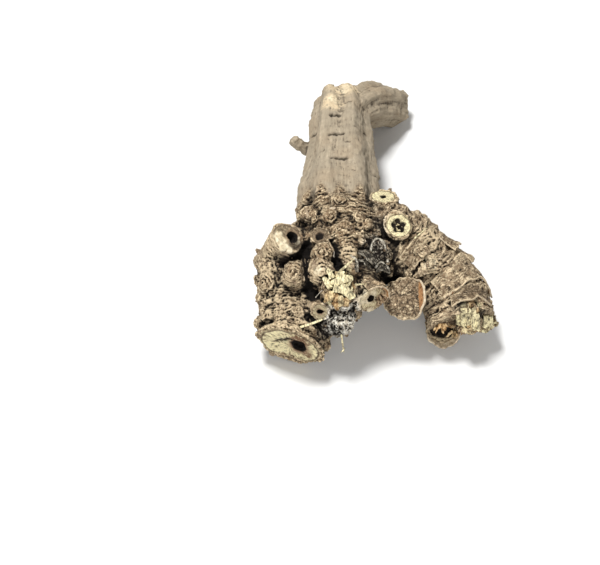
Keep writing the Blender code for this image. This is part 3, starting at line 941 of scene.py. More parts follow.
def grown_together(bodies, name):
    """One body from all the limbs, by a union."""
    trunk, *others = bodies
    grown = bpy.data.collections.new("limbs")
    for body in others:
        grown.objects.link(body)
    union = trunk.modifiers.new("Union", "BOOLEAN")
    union.operation = "UNION"
    union.operand_type = "COLLECTION"
    union.collection = grown
    union.solver = "MANIFOLD"
    bake(trunk)
    for body in others:
        bpy.data.objects.remove(body)
    bpy.data.collections.remove(grown)
    trunk.name = name
    return trunk


def keep_outer_body(root):
    """Drops sealed hollows and loose scraps, which are the smaller islands of the mesh."""
    bm = bmesh.new()
    bm.from_mesh(root.data)
    bodies, left = [], set(bm.verts)
    while left:
        body, edge = set(), [left.pop()]
        while edge:
            v = edge.pop()
            body.add(v)
            near = {e.other_vert(v) for e in v.link_edges} & left
            left -= near
            edge.extend(near)
        bodies.append(body)
    bodies.sort(key=len)
    for body in bodies[:-1]:
        bmesh.ops.delete(bm, geom=list(body), context="VERTS")
    bm.to_mesh(root.data)
    bm.free()


# ---- where each point of the skin lies on its limb ------------------------------------------------


def vectors_of(mesh, field):
    """The place or the normal of each point of the mesh."""
    values = np.zeros(len(mesh.vertices) * 3, np.float32)
    mesh.vertices.foreach_get(field, values)
    return values.reshape(-1, 3)


def points_of(mesh):
    """The mesh's points in the tables' millimetres."""
    return vectors_of(mesh, "co") / MM + np.array(OUTLINE_MIDDLE)


def store(mesh, name, values, kind="FLOAT"):
    """Keeps one value or vector for each point of the mesh."""
    attribute = mesh.attributes.get(name) or mesh.attributes.new(name, kind, "POINT")
    field = "vector" if kind == "FLOAT_VECTOR" else "value"
    attribute.data.foreach_set(field, np.ascontiguousarray(values, np.float32).ravel())


def read(mesh, name):
    """What is kept for each point of the mesh under a name."""
    values = np.zeros(len(mesh.vertices), np.float32)
    mesh.attributes[name].data.foreach_get("value", values)
    return values


def diffused(mesh, values, rounds):
    """Values spread to neighbouring points, so that one kind of bark runs into the next."""
    edges = np.zeros(len(mesh.edges) * 2, np.int32)
    mesh.edges.foreach_get("vertices", edges)
    a, b = edges.reshape(-1, 2).T
    count = np.bincount(a, minlength=len(values)) + np.bincount(b, minlength=len(values))
    for _ in range(rounds):
        total = np.bincount(a, values[b], len(values)) + np.bincount(b, values[a], len(values))
        values = 0.3 * values + 0.7 * total / np.maximum(count, 1)
    return values


def smoothstep(low, high, values):
    """A soft step from 0 at low to 1 at high."""
    t = np.clip((values - low) / (high - low), 0.0, 1.0)
    return t * t * (3 - 2 * t)


def lie_of_the_bark(points):
    """What each point of the skin belongs to: its limb's bark, a cut or torn face, or the pith."""
    n = len(points)
    keys = "along turn radius age crumble wood sawn fresh pith halo tone share limb"
    found = {key: np.zeros(n) for key in keys.split()}
    found["local"] = np.zeros((n, 2))
    best = np.full(n, 1e9)
    for index, limb in enumerate(LIMBS):
        stations = stations_of(limb)
        middles, radii, alongs, aheads, ups, acrosses = (np.array(column) for column in zip(*stations))
        reach = radii.max() + 5.0
        low, high = middles.min(0) - reach, middles.max(0) + reach
        near = np.nonzero(((points > low) & (points < high)).all(1))[0]
        p = points[near]
        squares = (middles**2).sum(1)[None] - 2 * p @ middles.T
        k = squares.argmin(1)
        off = p - middles[k]
        ahead = (off * aheads[k]).sum(1)
        x, y = (off * ups[k]).sum(1), (off * acrosses[k]).sum(1)
        out, radius = np.hypot(x, y), radii[k]
        along = alongs[k] + ahead
        past_end = (k == len(stations) - 1) & (ahead > 0)
        face, pith, halo = np.zeros((3, len(near)))
        if limb.end == "bud":
            misfit = np.where(past_end, np.hypot(out, ahead / BLUNT), out) - radius
            over = alongs[-1] + radius * np.arctan2(ahead / BLUNT, out)
            along = np.where(past_end, over, along)
        else:
            misfit = np.where(past_end & (out < radius), ahead - END_DOME, out - radius)
            at_end = (k >= len(stations) - 3) & (np.abs(along - alongs[-1] - END_DOME) < 1.3)
            face = at_end * smoothstep(0.99, 0.9, out / radius)
        misfit = np.abs(misfit) + 9.0 * ((k == 0) & (ahead < -0.5))
        misfit = np.where(face > 0.4, np.minimum(misfit, 0.15), misfit)
        if limb.hole:
            hx, hy = (x - limb.hole_at[0]) / limb.hole_tall, y - limb.hole_at[1]
            points_of_star = 0.25 if limb.name == "starred_stub" else 0.06
            star = 1 + points_of_star * np.sin(5 * np.arctan2(hy, hx) + index)
            depth, from_hole = alongs[-1] - along, np.hypot(hx, hy)
            pith = smoothstep(limb.hole * 1.3, limb.hole * 0.95, from_hole / star)
            pith *= (depth < HOLE_DEPTH + 0.8) & (depth > -2)
            halo = BROWNED.get(limb.name, 0.3) * smoothstep(limb.hole * 2.3, limb.hole * 1.1, from_hole)
            misfit = np.where((pith > 0.2) & (depth > 0.3), 0.0, misfit)
            pith *= 0.8 if limb.name == "right_end_hollow" else 1.0
        closer = misfit < best[near]
        at = near[closer]
        best[at] = misfit[closer]
        smooth = limb.name in SMOOTH_ROOTLETS
        values = {
            "along": along + index * ALONG_SHIFT,
            "turn": np.arctan2(y, x),
            "radius": np.maximum(radius, 1.0),
            "share": out / radius,
            "age": np.full(len(near), 0.1 if smooth else limb.age),
            "crumble": np.full(len(near), limb.crumble),
            "wood": face,
            "sawn": face * (limb.end == "cut"),
            "fresh": np.full(len(near), FRESH.get(limb.name, 0.45)),
            "pith": pith,
            "halo": halo,
            "tone": np.full(len(near), 0.5 + 0.5 * math.sin(index * 12.9898)),
            "limb": np.full(len(near), float(index)),
        }
        for key, value in values.items():
            found[key][at] = value[closer]
        found["local"][at] = np.stack([x, y], 1)[closer]
    return found


def ring_the_domes(points, found, domes):
    """Makes the wrinkles on each wart run in rings round its top."""
    for number, (middle, size, top) in enumerate(domes):
        off = points - np.array(middle)
        away = np.linalg.norm(off, axis=1)
        level = (off @ np.array(top)) / np.maximum(away, 1e-6)
        on_it = (away < size * 1.3) & (level > 0.25) & (found["wood"] < 0.3)
        found["along"][on_it] = 50 + ALONG_SHIFT * number + size * np.arccos(np.clip(level[on_it], -1, 1))
        found["tone"][on_it] = 0.5 + 0.5 * math.sin(number * 7.31)


def marked(points, kind):
    """How strongly a kind of mark shows at each point."""
    shown = np.zeros(len(points))
    outer, inner, ragged = MARK_EDGES.get(kind, SOFT_EDGE)
    wobble = ragged * np.sin(points @ (1.3, 0.7, 1.1)) * np.sin(points @ (-0.6, 1.5, 0.9))
    for place, reach, strength in MARKS[kind]:
        away = np.linalg.norm(points - np.array(place), axis=1) + wobble
        shown = np.maximum(shown, strength * smoothstep(reach * outer, reach * inner, away))
    return shown


def cracks_at(points, found, draw):
    """Depth of the short cracks across the taproot, in millimetres."""
    taproot = MAIN_LIMBS[0]
    stations = stations_of(taproot)
    cracks = list(CRACKS)
    for _ in range(RANDOM_CRACKS):
        middle, radius, _, _, up, across = draw.choice(stations[22:-4])
        angle = draw.uniform(0, 2 * math.pi)
        spoke = up * math.cos(angle) + across * math.sin(angle)
        cracks.append((tuple(middle + spoke * radius), draw.uniform(0.9, 3.0), draw.uniform(0.35, 0.8)))
    depth = np.zeros(len(points))
    for place, half, deep in cracks:
        off = points - np.array(place)
        near = (np.abs(off) < half + 3).all(1)
        o = off[near]
        sideways = np.hypot(o[:, 0], o[:, 2])
        bow = 0.3 * np.sin(0.8 * o[:, 0] + place[1]) + 0.14 * np.sin(4.3 * o[:, 0] + place[0])
        wide = 0.38 + 0.34 * np.sin(1.1 * o[:, 0] + 2 * place[1]) ** 2
        shape = np.exp(-(((o[:, 1] - bow) / wide) ** 2)) * smoothstep(half, half * 0.4, sideways)
        depth[near] = np.maximum(depth[near], deep * shape)
    return depth * (found["age"] < 0.3)


def sky_seen(mesh, rays, reach):
    """Share of the sky that each point of the mesh sees, from 0 deep in a crevice to 1 in the open."""
    tree = BVHTree.FromPolygons([v.co for v in mesh.vertices], [p.vertices for p in mesh.polygons])
    spread = []
    for k in range(rays):
        z = 1 - (k + 0.5) / rays * 0.85
        turn, flat = k * GOLDEN_TURN, math.sqrt(1 - z * z)
        spread.append(Vector((flat * math.cos(turn), flat * math.sin(turn), z)))
    seen = np.zeros(len(mesh.vertices))
    for v in mesh.vertices:
        normal = v.normal
        turned = normal.to_track_quat("Z", "Y")
        start = v.co + normal * 0.00025
        seen[v.index] = sum(tree.ray_cast(start, turned @ way, reach)[0] is None for way in spread) / rays
    return seen


# ---- the skin's fine relief -----------------------------------------------------------------------


def wrinkle_phase(t, place, along, pitch):
    """Which wrinkle a point of a limb lies on, as they wander round it."""
    wander = t.noise(place, 0.13, 5.0, 0.6) * 9.0
    wander = wander + t.noise(place, 0.5, 4.0, 0.65) * 3.2
    return (along + wander) / pitch


def relief_tree():
    """Geometry nodes that raise crumbs, wrinkles, furrows and torn fibres on the skin."""
    sizes = ("Wrinkle Pitch", "Wrinkle Depth", "Crumb Size", "Crumb Height", "Fibre Depth")
    t, given = geometry_group("Bark relief", {**dict.fromkeys(sizes, "Float"), "Bark": "Material"})

    def attribute(name, kind="FLOAT"):
        return t.add("GeometryNodeInputNamedAttribute", {"Name": name}, data_type=kind)

    place = t.scaled(t.add("GeometryNodeInputPosition"), 1 / MM)
    fibre_at = attribute("fibre_at", "FLOAT_VECTOR")
    along, age = attribute("along"), attribute("age")
    crumble, wood, pith = attribute("crumble"), attribute("wood"), attribute("pith")
    bark = t.rest_of(wood)

    def mm(name):
        return given[name] / MM

    # Broken bark: ragged folds and lumps at several sizes.
    bent = t.vector_math("ADD", place, t.scaled(t.noise(place, 0.5, 4.0, 0.6, out=1), 2.6))
    cell = {"Vector": bent, "Scale": 1.0 / mm("Crumb Size")}
    to_edge = t.add("ShaderNodeTexVoronoi", cell, feature="DISTANCE_TO_EDGE")
    grain = t.remap(to_edge, 0.0, 0.2, -0.8, 0.1)
    grain = grain * t.remap(t.noise(place, 0.22, 3.0), 0.5, 0.68)
    folds = abs(t.noise(bent, 0.4, 7.0, 0.72) - 0.5)
    folds = (0.11 - folds) * 6.5
    lumps = (t.noise(place, 0.75, 8.0, 0.78) - 0.5) * 3.0
    crumbs = grain + (folds + lumps)
    crumbs = crumbs * mm("Crumb Height")
    crumbs = crumbs * crumble * bark

    # Wrinkles round a limb: sharp creases, wandering and dying out.
    phase = wrinkle_phase(t, place, along, mm("Wrinkle Pitch"))
    wave = abs(t.sine(phase * math.pi))
    crease = (1.0 - wave) ** 1.6
    patchy = t.remap(t.noise(place, 0.28, 5.0, 0.6), 0.36, 0.58, 0.15, 1.3)
    crease = crease * mm("Wrinkle Depth") * patchy
    wrinkles = crease * -2.0 * (age * bark)

    # Furrows along the taproot.
    furrow = t.noise(fibre_at, 0.42, 5.0, 0.6)
    furrow = abs(furrow - 0.5)
    furrow = furrow * 6.0 - 0.8
    fine = (t.noise(fibre_at, 1.8, 4.0, 0.65) - 0.5) * 1.8
    uneven = (t.noise(place, 0.3, 6.0, 0.6) - 0.5) * 2.6
    young = t.rest_of(age)
    fibres = furrow + (fine + uneven)
    fibres = fibres * mm("Fibre Depth") * (young * bark)

    # Wood: ragged splinters where it tore, faint rays and a sunken middle where it was sawn.
    sawn = attribute("sawn")
    split_at = attribute("split_at", "FLOAT_VECTOR")
    block = t.add("ShaderNodeTexVoronoi", {"Vector": split_at, "Scale": 0.5})
    drawn, middle = block.beside("Color"), block.beside("Position")
    tilt = t.vector_math("SUBTRACT", drawn, (0.5, 0.5, 0.5))
    tilt = t.vector_math("DOT_PRODUCT", tilt, t.vector_math("SUBTRACT", split_at, middle), out=1)
    ragged = t.add("ShaderNodeSeparateXYZ", {0: drawn}) - 0.75
    ragged = ragged * 1.3 + tilt * 1.1
    ragged = ragged + t.noise(split_at, 1.3, 6.0, 0.7) * 0.6
    ragged = ragged * t.remap(attribute("fresh"), 0.2, 0.9, 0.35, 1.0)
    ragged = ragged * (wood * t.rest_of(sawn))
    rays = t.noise(attribute("face_at", "FLOAT_VECTOR"), 2.6, 5.0, 0.65)
    rays = (rays - 0.6) * (sawn * 2.2)
    torn = ragged + rays
    rise = crumbs + wrinkles + (fibres + torn)
    rise = rise - attribute("crack")
    rise = rise - pith * 0.3
    rise = rise * MM

    facing = {0: t.add("GeometryNodeInputNormal"), "Iterations": 2}
    outward = t.vector_math("NORMALIZE", t.add("GeometryNodeBlurAttribute", facing, data_type="FLOAT_VECTOR"))
    moved = {"Geometry": given["Geometry"], "Offset": t.scaled(outward, rise)}
    skin = t.add("GeometryNodeSetPosition", moved)
    return t.finished(t.add("GeometryNodeSetMaterial", {"Geometry": skin, "Material": given["Bark"]}))


def standing_out(mesh, rounds):
    """How far each point of the mesh stands out of its surroundings along its normal, in millimetres."""
    co = vectors_of(mesh, "co").astype(float)
    soft = np.stack([diffused(mesh, co[:, axis], rounds) for axis in range(3)], 1)
    return ((co - soft) * vectors_of(mesh, "normal")).sum(1) / MM


def thin_out(skin, facets):
    """Merges the skin's facets down to a number, first where it is smooth or faces down."""
    mesh = skin.data
    below = smoothstep(0.1, -0.5, vectors_of(mesh, "normal")[:, 2])
    plain = np.maximum(below, 0.3 * (1.0 - read(mesh, "age")))
    group = skin.vertex_groups.new(name="plain")
    for index, share in enumerate(np.clip(plain, 0.02, 1.0)):
        group.add((index,), share, "REPLACE")
    thin = skin.modifiers.new("Thin", "DECIMATE")
    thin.ratio = facets / (2 * len(mesh.polygons))
    thin.vertex_group = group.name
    thin.vertex_group_factor = 1.0
    bake(skin)


# ---- materials ------------------------------------------------------------------------------------


def new_material(name):
    """A matt material, with its tree, its shader and the place on the object in millimetres."""
    material = bpy.data.materials.new(name)
    material.use_nodes = True
    t = Tree(material.node_tree)
    shader = material.node_tree.nodes["Principled BSDF"]
    shader.inputs["Specular IOR Level"].default_value = 0.25
    return material, t, shader, t.scaled(t.add("ShaderNodeTexCoord", out="Object"), 1 / MM)


def bark_material(bark):
    """Bark from the smooth taproot to the rough crown, pale wood on the cut faces, soil and painted shade in
    the creases.
    """
    material, t, shader, place = new_material("dry_bark")

    def attribute(name, out="Fac"):
        return t.add("ShaderNodeAttribute", out=out, attribute_name=name)

    fibre_at = attribute("fibre_at", "Vector")
    broad = t.noise(place, 0.09, 3.0)
    mottle = t.noise(place, 0.5, 8.0, 0.75)
    specks = t.noise(place, 1.9, 5.0, 0.75)
    streaks = t.noise(fibre_at, 0.8, 7.0, 0.7)
    age, crest, open_sky = attribute("age"), attribute("crest"), attribute("open_sky")
    pale, crown, tap = tuple(bark.crest_wear_and_highlight_colour), tuple(bark.crown_colour), tuple(bark.taproot_colour)
    # soil: the dark of the bark's cracks, and also of the painted shade.
    soil_and_shade = tuple(bark.soil_and_shade_colour)

    # Taproot: soft streaks along it, with broad browner patches.
    young = t.ramp(
        streaks * 0.6 + mottle * 0.4,
        (0.33, tint(tap, 0.45)),
        (0.43, tint(tap, 0.82)),
        (0.54, tap),
        (0.66, tint(tap, 1.4)),
    )
    young = t.mix(t.remap(broad, 0.45, 0.7, 0.0, 0.35), young, (0.36, 0.26, 0.16))

    # Crown: fine wrinkles in light and dark, mottled, with painted highlights on what stands proud and
    # painted shade in what sinks.
    along = attribute("along")
    wide = t.sine(wrinkle_phase(t, place, along, bark.wrinkle_pitch / MM) * (2 * math.pi))
    jitter = t.noise(place, 0.5, 5.0, 0.65) * 4.0
    narrow = t.sine((along + jitter) * (2 * math.pi / bark.line_pitch * MM))
    cracked = abs(t.noise(place, 0.7, 7.0, 0.7) - 0.5)
    lines = wide * -0.05 + narrow * 0.085
    lines = lines * t.remap(t.noise(place, 0.35, 4.0), 0.36, 0.56, 0.15, 1.0)
    value = mottle * 0.5 + specks * 0.52
    value = value + attribute("tone") * 0.05
    # crest adds a painted highlight to what stands proud and painted shade to what sinks, through every ramp
    # below.
    value = value + (lines + crest * 0.34)
    old = t.ramp(
        value,
        (0.37, tint(crown, 0.08)),
        (0.462, tint(crown, 0.5)),
        (0.545, tint(crown, 1.1)),
        (0.635, tint(pale, 0.75)),
        (0.71, tint(pale, 1.45)),
    )
    old = t.mix(t.remap(cracked, 0.02, 0.0, 0.0, 0.5), old, soil_and_shade)
    colour = t.mix(age, young, old)
    # Grey weathered bark, ramped down to near black in its low values: partly painted shade, as in the hollow
    # beside the neck.
    greyed_and_shaded = t.ramp(
        value,
        (0.46, (0.01, 0.009, 0.007)),
        (0.57, (0.055, 0.046, 0.035)),
        (0.66, (0.3, 0.26, 0.2)),
        (0.76, (0.85, 0.78, 0.65)),
    )
    colour = t.mix(attribute("grey") * 0.9, colour, greyed_and_shaded)
    ashen = t.ramp(
        value,
        (0.42, (0.022, 0.016, 0.010)),
        (0.475, (0.27, 0.215, 0.15)),
        (0.52, (0.76, 0.66, 0.51)),
        (0.58, (1.0, 0.95, 0.83)),
    )
    ashen = t.mix(t.remap(t.noise(place, 0.9, 4.0, 0.7), 0.49, 0.41), ashen, soil_and_shade)
    colour = t.mix(attribute("ash"), colour, ashen)
    umber = t.ramp(value, (0.42, (0.03, 0.015, 0.008)), (0.54, (0.22, 0.12, 0.06)), (0.7, (0.6, 0.42, 0.25)))
    colour = t.mix(attribute("brown") * 0.85, colour, umber)
    colour = t.mix(attribute("pale") * t.remap(value, 0.45, 0.62), colour, tint(pale, 1.15))
    # Painted shade in what sinks below its surroundings.
    sunk = t.remap(crest, -0.02, -0.24)
    colour = t.mix(sunk * t.remap(age, 0.0, 1.0, 0.6, 0.93), colour, tint(crown, 0.1))

    # Cut and torn wood.
    wood, weathered = tuple(bark.wood_colour), (0.30, 0.22, 0.14)
    sawn = attribute("sawn")
    face_at = attribute("face_at", "Vector")
    flat_at = t.vector_math("MULTIPLY", face_at, (1.0, 1.0, 0.0))
    edge = t.vector_math("LENGTH", flat_at, out=1)
    share = edge + (t.noise(place, 0.3, 4.0) - 0.5) * 0.5
    split_at = attribute("split_at", "Vector")
    torn_grain = t.noise(split_at, 1.1, 8.0, 0.78)
    spoke = t.vector_math("NORMALIZE", flat_at)
    ray_at = t.add("ShaderNodeCombineXYZ", {"Z": share * 0.9})
    ray_at = t.vector_math("ADD", t.scaled(spoke, 1.3), ray_at)
    ray_grain = t.noise(t.vector_math("ADD", ray_at, t.scaled(face_at, 1.7)), 3.4, 8.0, 0.7)
    splintered = t.remap(torn_grain, 0.3, 0.7, 0.14, 0.76)
    # crest lifts the wood's colour where it stands proud: painted highlight, and painted shade where it
    # sinks.
    grain = t.mix(sawn, splintered, ray_grain) + crest * 0.12
    grain = grain + sawn * -0.035
    bright = t.ramp(
        grain,
        (0.33, (0.12, 0.07, 0.03)),
        (0.39, tint(wood, 0.55)),
        (0.45, tint(wood, 1.0)),
        (0.54, tint(wood, 1.28)),
    )
    block = t.add("ShaderNodeTexVoronoi", {"Vector": split_at, "Scale": 0.5})
    seam = t.add("ShaderNodeTexVoronoi", {"Vector": split_at, "Scale": 0.5}, feature="DISTANCE_TO_EDGE")
    torn = t.rest_of(sawn)
    drawn = t.add("ShaderNodeSeparateXYZ", {0: block.beside("Color")}, out=1)
    browned = t.remap(drawn + torn_grain, 0.95, 1.3, 0.0, 0.8) * torn
    bright = t.mix(browned, bright, (0.40, 0.235, 0.10))
    # Painted shade in the splits between the torn blocks.
    bright = t.mix(t.remap(seam, 0.06, 0.01) * torn, bright, (0.08, 0.045, 0.02))
    dull = t.ramp(
        grain,
        (0.34, tint(weathered, 0.2)),
        (0.45, tint(weathered, 0.6)),
        (0.56, weathered),
        (0.68, tint(pale, 1.1)),
    )
    woody = t.mix(attribute("fresh"), dull, bright)
    browned = attribute("halo") * sawn * t.remap(mottle, 0.36, 0.54, 0.45, 0.95)
    woody = t.mix(browned, woody, (0.27, 0.155, 0.095))
    woody = t.mix(attribute("brown") * t.remap(ray_grain, 0.66, 0.46), woody, (0.17, 0.085, 0.045))
    cambium = t.remap(edge, 0.84, 0.88) * (sawn * t.remap(edge, 0.95, 0.91))
    woody = t.mix(cambium * 0.9, woody, (0.07, 0.04, 0.025))
    # Painted shade in the wood's hollows.
    woody = t.mix(t.remap(crest, -0.08, -0.45), woody, (0.07, 0.04, 0.02))
    colour = t.mix(attribute("wood"), colour, woody)
    worn = attribute("pale") * t.remap(mottle, 0.42, 0.5)
    colour = t.mix(worn * t.remap(crest, -0.15, 0.0), colour, tint(pale, 1.1))
    creamy = t.ramp(mottle, (0.36, (0.34, 0.25, 0.15)), (0.45, (0.7, 0.58, 0.38)), (0.6, (0.93, 0.83, 0.61)))
    colour = t.mix(attribute("cream") * t.remap(crest, -0.3, -0.1), colour, creamy)

    # Painted shade in the soil colour: holes painted near black, painted shade between the knobs where little
    # sky is seen, and painted deep shade on the dark marks.
    # Painted shade in the pith holes and pores: they are painted near black.
    colour = t.mix(attribute("pith"), colour, (0.016, 0.010, 0.007))
    # Painted shade: the less sky a point sees, the more it takes the soil colour.
    crevice_shade = t.remap(open_sky, 0.86, 0.36) * t.remap(age, 0.0, 1.0, 0.55, 1.0)
    colour = t.mix(crevice_shade, colour, soil_and_shade)
    # Painted deep shade on the dark marks, strongest in what sinks.
    deep_shade = attribute("dark") * t.remap(crest, 0.3, 0.0, 0.55, 0.97)
    colour = t.mix(deep_shade, colour, soil_and_shade)
    t.give(shader.inputs["Base Color"], colour)
    t.give(shader.inputs["Roughness"], t.remap(mottle, 0.3, 0.7, 0.82, 0.97))

    rough = specks * 0.7 + streaks * 0.3
    rough = rough + lines * (age * 1.6)
    t.bump(shader, rough, 0.8, 0.0009)
    return material


def plain_material(name, colour, roughness):
    """A material of one colour."""
    material = bpy.data.materials.new(name)
    material.use_nodes = True
    shader = material.node_tree.nodes["Principled BSDF"]
    shader.inputs["Base Color"].default_value = (*colour, 1.0)
    shader.inputs["Roughness"].default_value = roughness
    return material


# ---- sheets of bark and torn wood -----------------------------------------------------------------


def sprung_sheet(name, grid, thick, materials, tone=0.5, rolled=0):
    """A closed sheet from rows of places and lengths along, with a bark outside, an inside and a rim.

    Its last columns, as many as are rolled, show the inside.
    """
    bm = bmesh.new()
    rows = [[bm.verts.new(placed(point)) for point, _ in row] for row in grid]
    for i, (upper, lower) in enumerate(zip(rows, rows[1:])):
        bare = rolled * math.sin(math.pi * (i + 0.5) / (len(rows) - 1)) ** 0.6
        for k in range(len(upper) - 1):
            face = bm.faces.new((upper[k], upper[k + 1], lower[k + 1], lower[k]))
            face.material_index = int(k >= len(upper) - 1 - bare) + int(k >= len(upper) - 1 - 0.3 * bare)
    made = object_from(bm, name)
    count = len(made.data.vertices)
    store(made.data, "along", [along for row in grid for _, along in row])
    # On the sheet's bark the dark mark puts some painted deep shade, more where its tone is low; open_sky of
    # one leaves out the painted crevice shade.
    for mark, value in (("age", 0.9), ("open_sky", 1.0), ("tone", tone), ("dark", 0.3 - 0.25 * tone)):
        store(made.data, mark, np.full(count, value))
    wall = made.modifiers.new("Thickness", "SOLIDIFY")
    wall.thickness = thick * MM
    wall.offset = 0.0
    wall.material_offset = 1
    wall.material_offset_rim = 2
    for material in materials:
        made.data.materials.append(material)
    bake(made)
    made.data.shade_smooth()
    # crest drives the painted highlights and shade in the sheet's bark colour.
    store(made.data, "crest", 2.0 * standing_out(made.data, 10))
    return made


def sheet_grid(rows, columns, place):
    """Rows of what place gives, from 0 to 1 down the sheet and from -1 to 1 across it."""
    sides = [2 * k / (columns - 1) - 1 for k in range(columns)]
    return [[place(i / (rows - 1), side) for side in sides] for i in range(rows)]


def scale_rows(scale):
    """Places for one scale, which follows its limb and lifts off it towards its ragged free edge."""
    stations = stations_of(next(limb for limb in LIMBS if limb.name == scale.limb))

    def place(down, side):
        along = scale.ends_at - scale.length * (1 - down) + scale.bow * scale.length * down * side * side
        ragged = noise.fractal(Vector((side * 1.9, scale.ends_at, scale.angle)), 0.8, 2.0, 4)
        along += ragged * down**3
        middle, radius, at, ahead, up, across = min(stations, key=lambda station: abs(station[2] - along))
        angle = scale.angle + 0.5 * scale.spread * side
        spoke = up * math.cos(angle) + across * math.sin(angle)
        foot = middle + ahead * (along - at) + spoke * radius
        lift = scale.lift * down**2 * (1 - 0.6 * side * side) - 0.2
        lift += 0.3 * noise.fractal(foot / 2.5, 0.7, 2.0, 3)
        return foot + spoke * lift, along

    return sheet_grid(22, 56, place)


def plate_rows():
    """Places for the bark plate: rounded, cupped, and rolled up along its right edge."""
    facing = Vector(PLATE_FACING).normalized()
    across = (RIGHT - facing * facing.x).normalized()
    below = facing.cross(across)

    def place(down, side):
        w = 2 * down - 1
        x = 0.5 * PLATE_WIDTH * side * math.sqrt(1 - w * w / PLATE_CORNER)
        y = 0.5 * PLATE_LENGTH * w * math.sqrt(1 - side * side / PLATE_CORNER)
        rim = max(abs(side), abs(w)) ** 6
        x += 0.7 * rim * noise.noise(Vector((x, y, 1)) * 0.55)
        y += 0.9 * rim * noise.noise(Vector((x, y, 7)) * 0.55)
        roll = max(0.0, side - 0.25) / 0.75
        x -= 0.8 * roll**3
        lift = PLATE_CURL * roll**2 - 0.02 * y * y
        lift += 0.3 * noise.fractal(Vector((x, y, 3)) / 3.0, 0.7, 2.0, 5)
        lift += 0.3 * abs(noise.fractal(Vector((1.3 * x + 0.7 * y, 0.5 * (y - x), 9)), 0.9, 2.0, 4))
        return Vector(PLATE_MIDDLE) + across * x + below * y + facing * lift, 0.6 * y + 0.05 * x * x

    return sheet_grid(44, 48, place)


def curl_rows(points, width_way, half, turn_up):
    """Places for one curled flake, which tapers to both ends."""
    read = curve_through(points, [0.0] * len(points), 0.5, 1)
    across = Vector(width_way).normalized()
    over = (Vector(points[-1]) - Vector(points[0])).normalized().cross(across).normalized()

    def place(down, side):
        here = read[round(down * (len(read) - 1))].xyz
        share = half * (0.15 + 0.85 * math.sin(math.pi * (0.08 + 0.84 * down)) ** 0.7)
        ragged = 0.35 * noise.noise(Vector((down * 6, side, points[0][0])))
        return here + across * side * (share + ragged) + over * (turn_up * side * side + ragged), 5 * down

    return sheet_grid(26, 9, place)


def shard(bm, foot, way, side, sizes, brown, point, draw):
    """One torn splinter: a flat ragged blade, pointed or blunt, added to a mesh."""
    length, width, thick = sizes
    flat = way.cross(side).normalized()
    side = flat.cross(way)
    browned = bm.verts.layers.float["brown"]
    rings = []
    for reach, share in ((-0.3, 1.0), (0.1, 1.0), (0.4, 0.9), (0.65, 0.75), (0.86, 0.45)):
        middle = foot + way * length * reach + flat * 0.15 * length * reach * reach
        middle += side * width * draw.uniform(-0.12, 0.12)
        half = side * width * 0.5 * share**point * draw.uniform(0.75, 1.1)
        deep = flat * thick * 0.5 * share
        corners = (middle - half - deep, middle + half - deep, middle + half + deep, middle - half + deep)
        rings.append([bm.verts.new(placed(p)) for p in corners])
    for low, high in zip(rings, rings[1:]):
        for k in range(4):
            bm.faces.new((low[k - 1], low[k], high[k], high[k - 1]))
    tip = bm.verts.new(placed(foot + way * length + side * width * draw.uniform(-0.3, 0.3)))
    for k in range(4):
        bm.faces.new((rings[-1][k - 1], rings[-1][k], tip))
    bm.faces.new(rings[0])
    for v in (*(v for ring in rings for v in ring), tip):
        v[browned] = brown


def wood_material(bark):
    """Torn wood: pale yellow, with darker grain and dirt in its splits."""
    material, t, shader, place = new_material("torn_wood")
    wood = bark.wood_colour
    grain = t.noise(t.vector_math("MULTIPLY", place, (1.5, 0.45, 0.45)), 1.9, 6.0, 0.75)
    patch = t.noise(place, 0.55, 3.0, 0.6)
    grain = grain * 0.65 + patch * 0.35
    fresh = t.ramp(
        grain,
        (0.41, tint(wood, 0.1)),
        (0.465, tint(wood, 0.5)),
        (0.525, tint(wood, 0.88)),
        (0.59, tint(wood, 1.3)),
    )
    brown = t.ramp(grain, (0.42, (0.05, 0.025, 0.01)), (0.5, (0.34, 0.19, 0.075)), (0.59, (0.8, 0.6, 0.33)))
    browned = t.add("ShaderNodeAttribute", out="Fac", attribute_name="brown")
    t.give(shader.inputs["Base Color"], t.mix(browned, fresh, brown))
    shader.inputs["Roughness"].default_value = 0.85
    t.bump(shader, grain, 0.5, 0.0004)
    return material


def speckled_material(name):
    """A dry plant finish in three tones."""
    dark, middle, light, scale, depth = SPECKLES[name]
    material, t, shader, place = new_material(name)
    grain = t.noise(place, scale, 7.0, 0.72)
    colour = t.ramp(grain, (0.34, dark), (0.5, middle), (0.66, light))
    t.give(shader.inputs["Base Color"], colour)
    shader.inputs["Roughness"].default_value = 0.9
    t.bump(shader, t.noise(place, scale * 4, 5.0, 0.7), depth, 0.0005)
    return material


# ---- loose bark -----------------------------------------------------------------------------------


def flake_shape(t):
    """A thin cupped flake, one unit long."""
    ball = t.add("GeometryNodeMeshIcoSphere", {"Radius": 0.5, "Subdivisions": 2})
    at = t.add("GeometryNodeInputPosition")
    flat = t.vector_math("MULTIPLY", at, (1.0, 0.62, 0.13))
    x = t.add("ShaderNodeSeparateXYZ", {0: at})
    cup = x * x * 0.7
    bent = t.vector_math("ADD", flat, t.add("ShaderNodeCombineXYZ", {"Z": cup}))
    ragged = t.scaled(t.drift(at, 3.0, 2.0), 0.45)
    ragged = t.vector_math("MULTIPLY", ragged, (1.0, 1.0, 0.25))
    moved = {"Geometry": ball, "Position": t.vector_math("ADD", bent, ragged)}
    return t.add("GeometryNodeSetPosition", moved)


def crumb_shape(t):
    """A small lump, one unit wide."""
    ball = t.add("GeometryNodeMeshIcoSphere", {"Radius": 0.5, "Subdivisions": 1})
    at = t.add("GeometryNodeInputPosition")
    moved = {"Geometry": ball, "Offset": t.scaled(t.drift(at, 2.0, 2.0), 0.7)}
    return t.add("GeometryNodeSetPosition", moved)


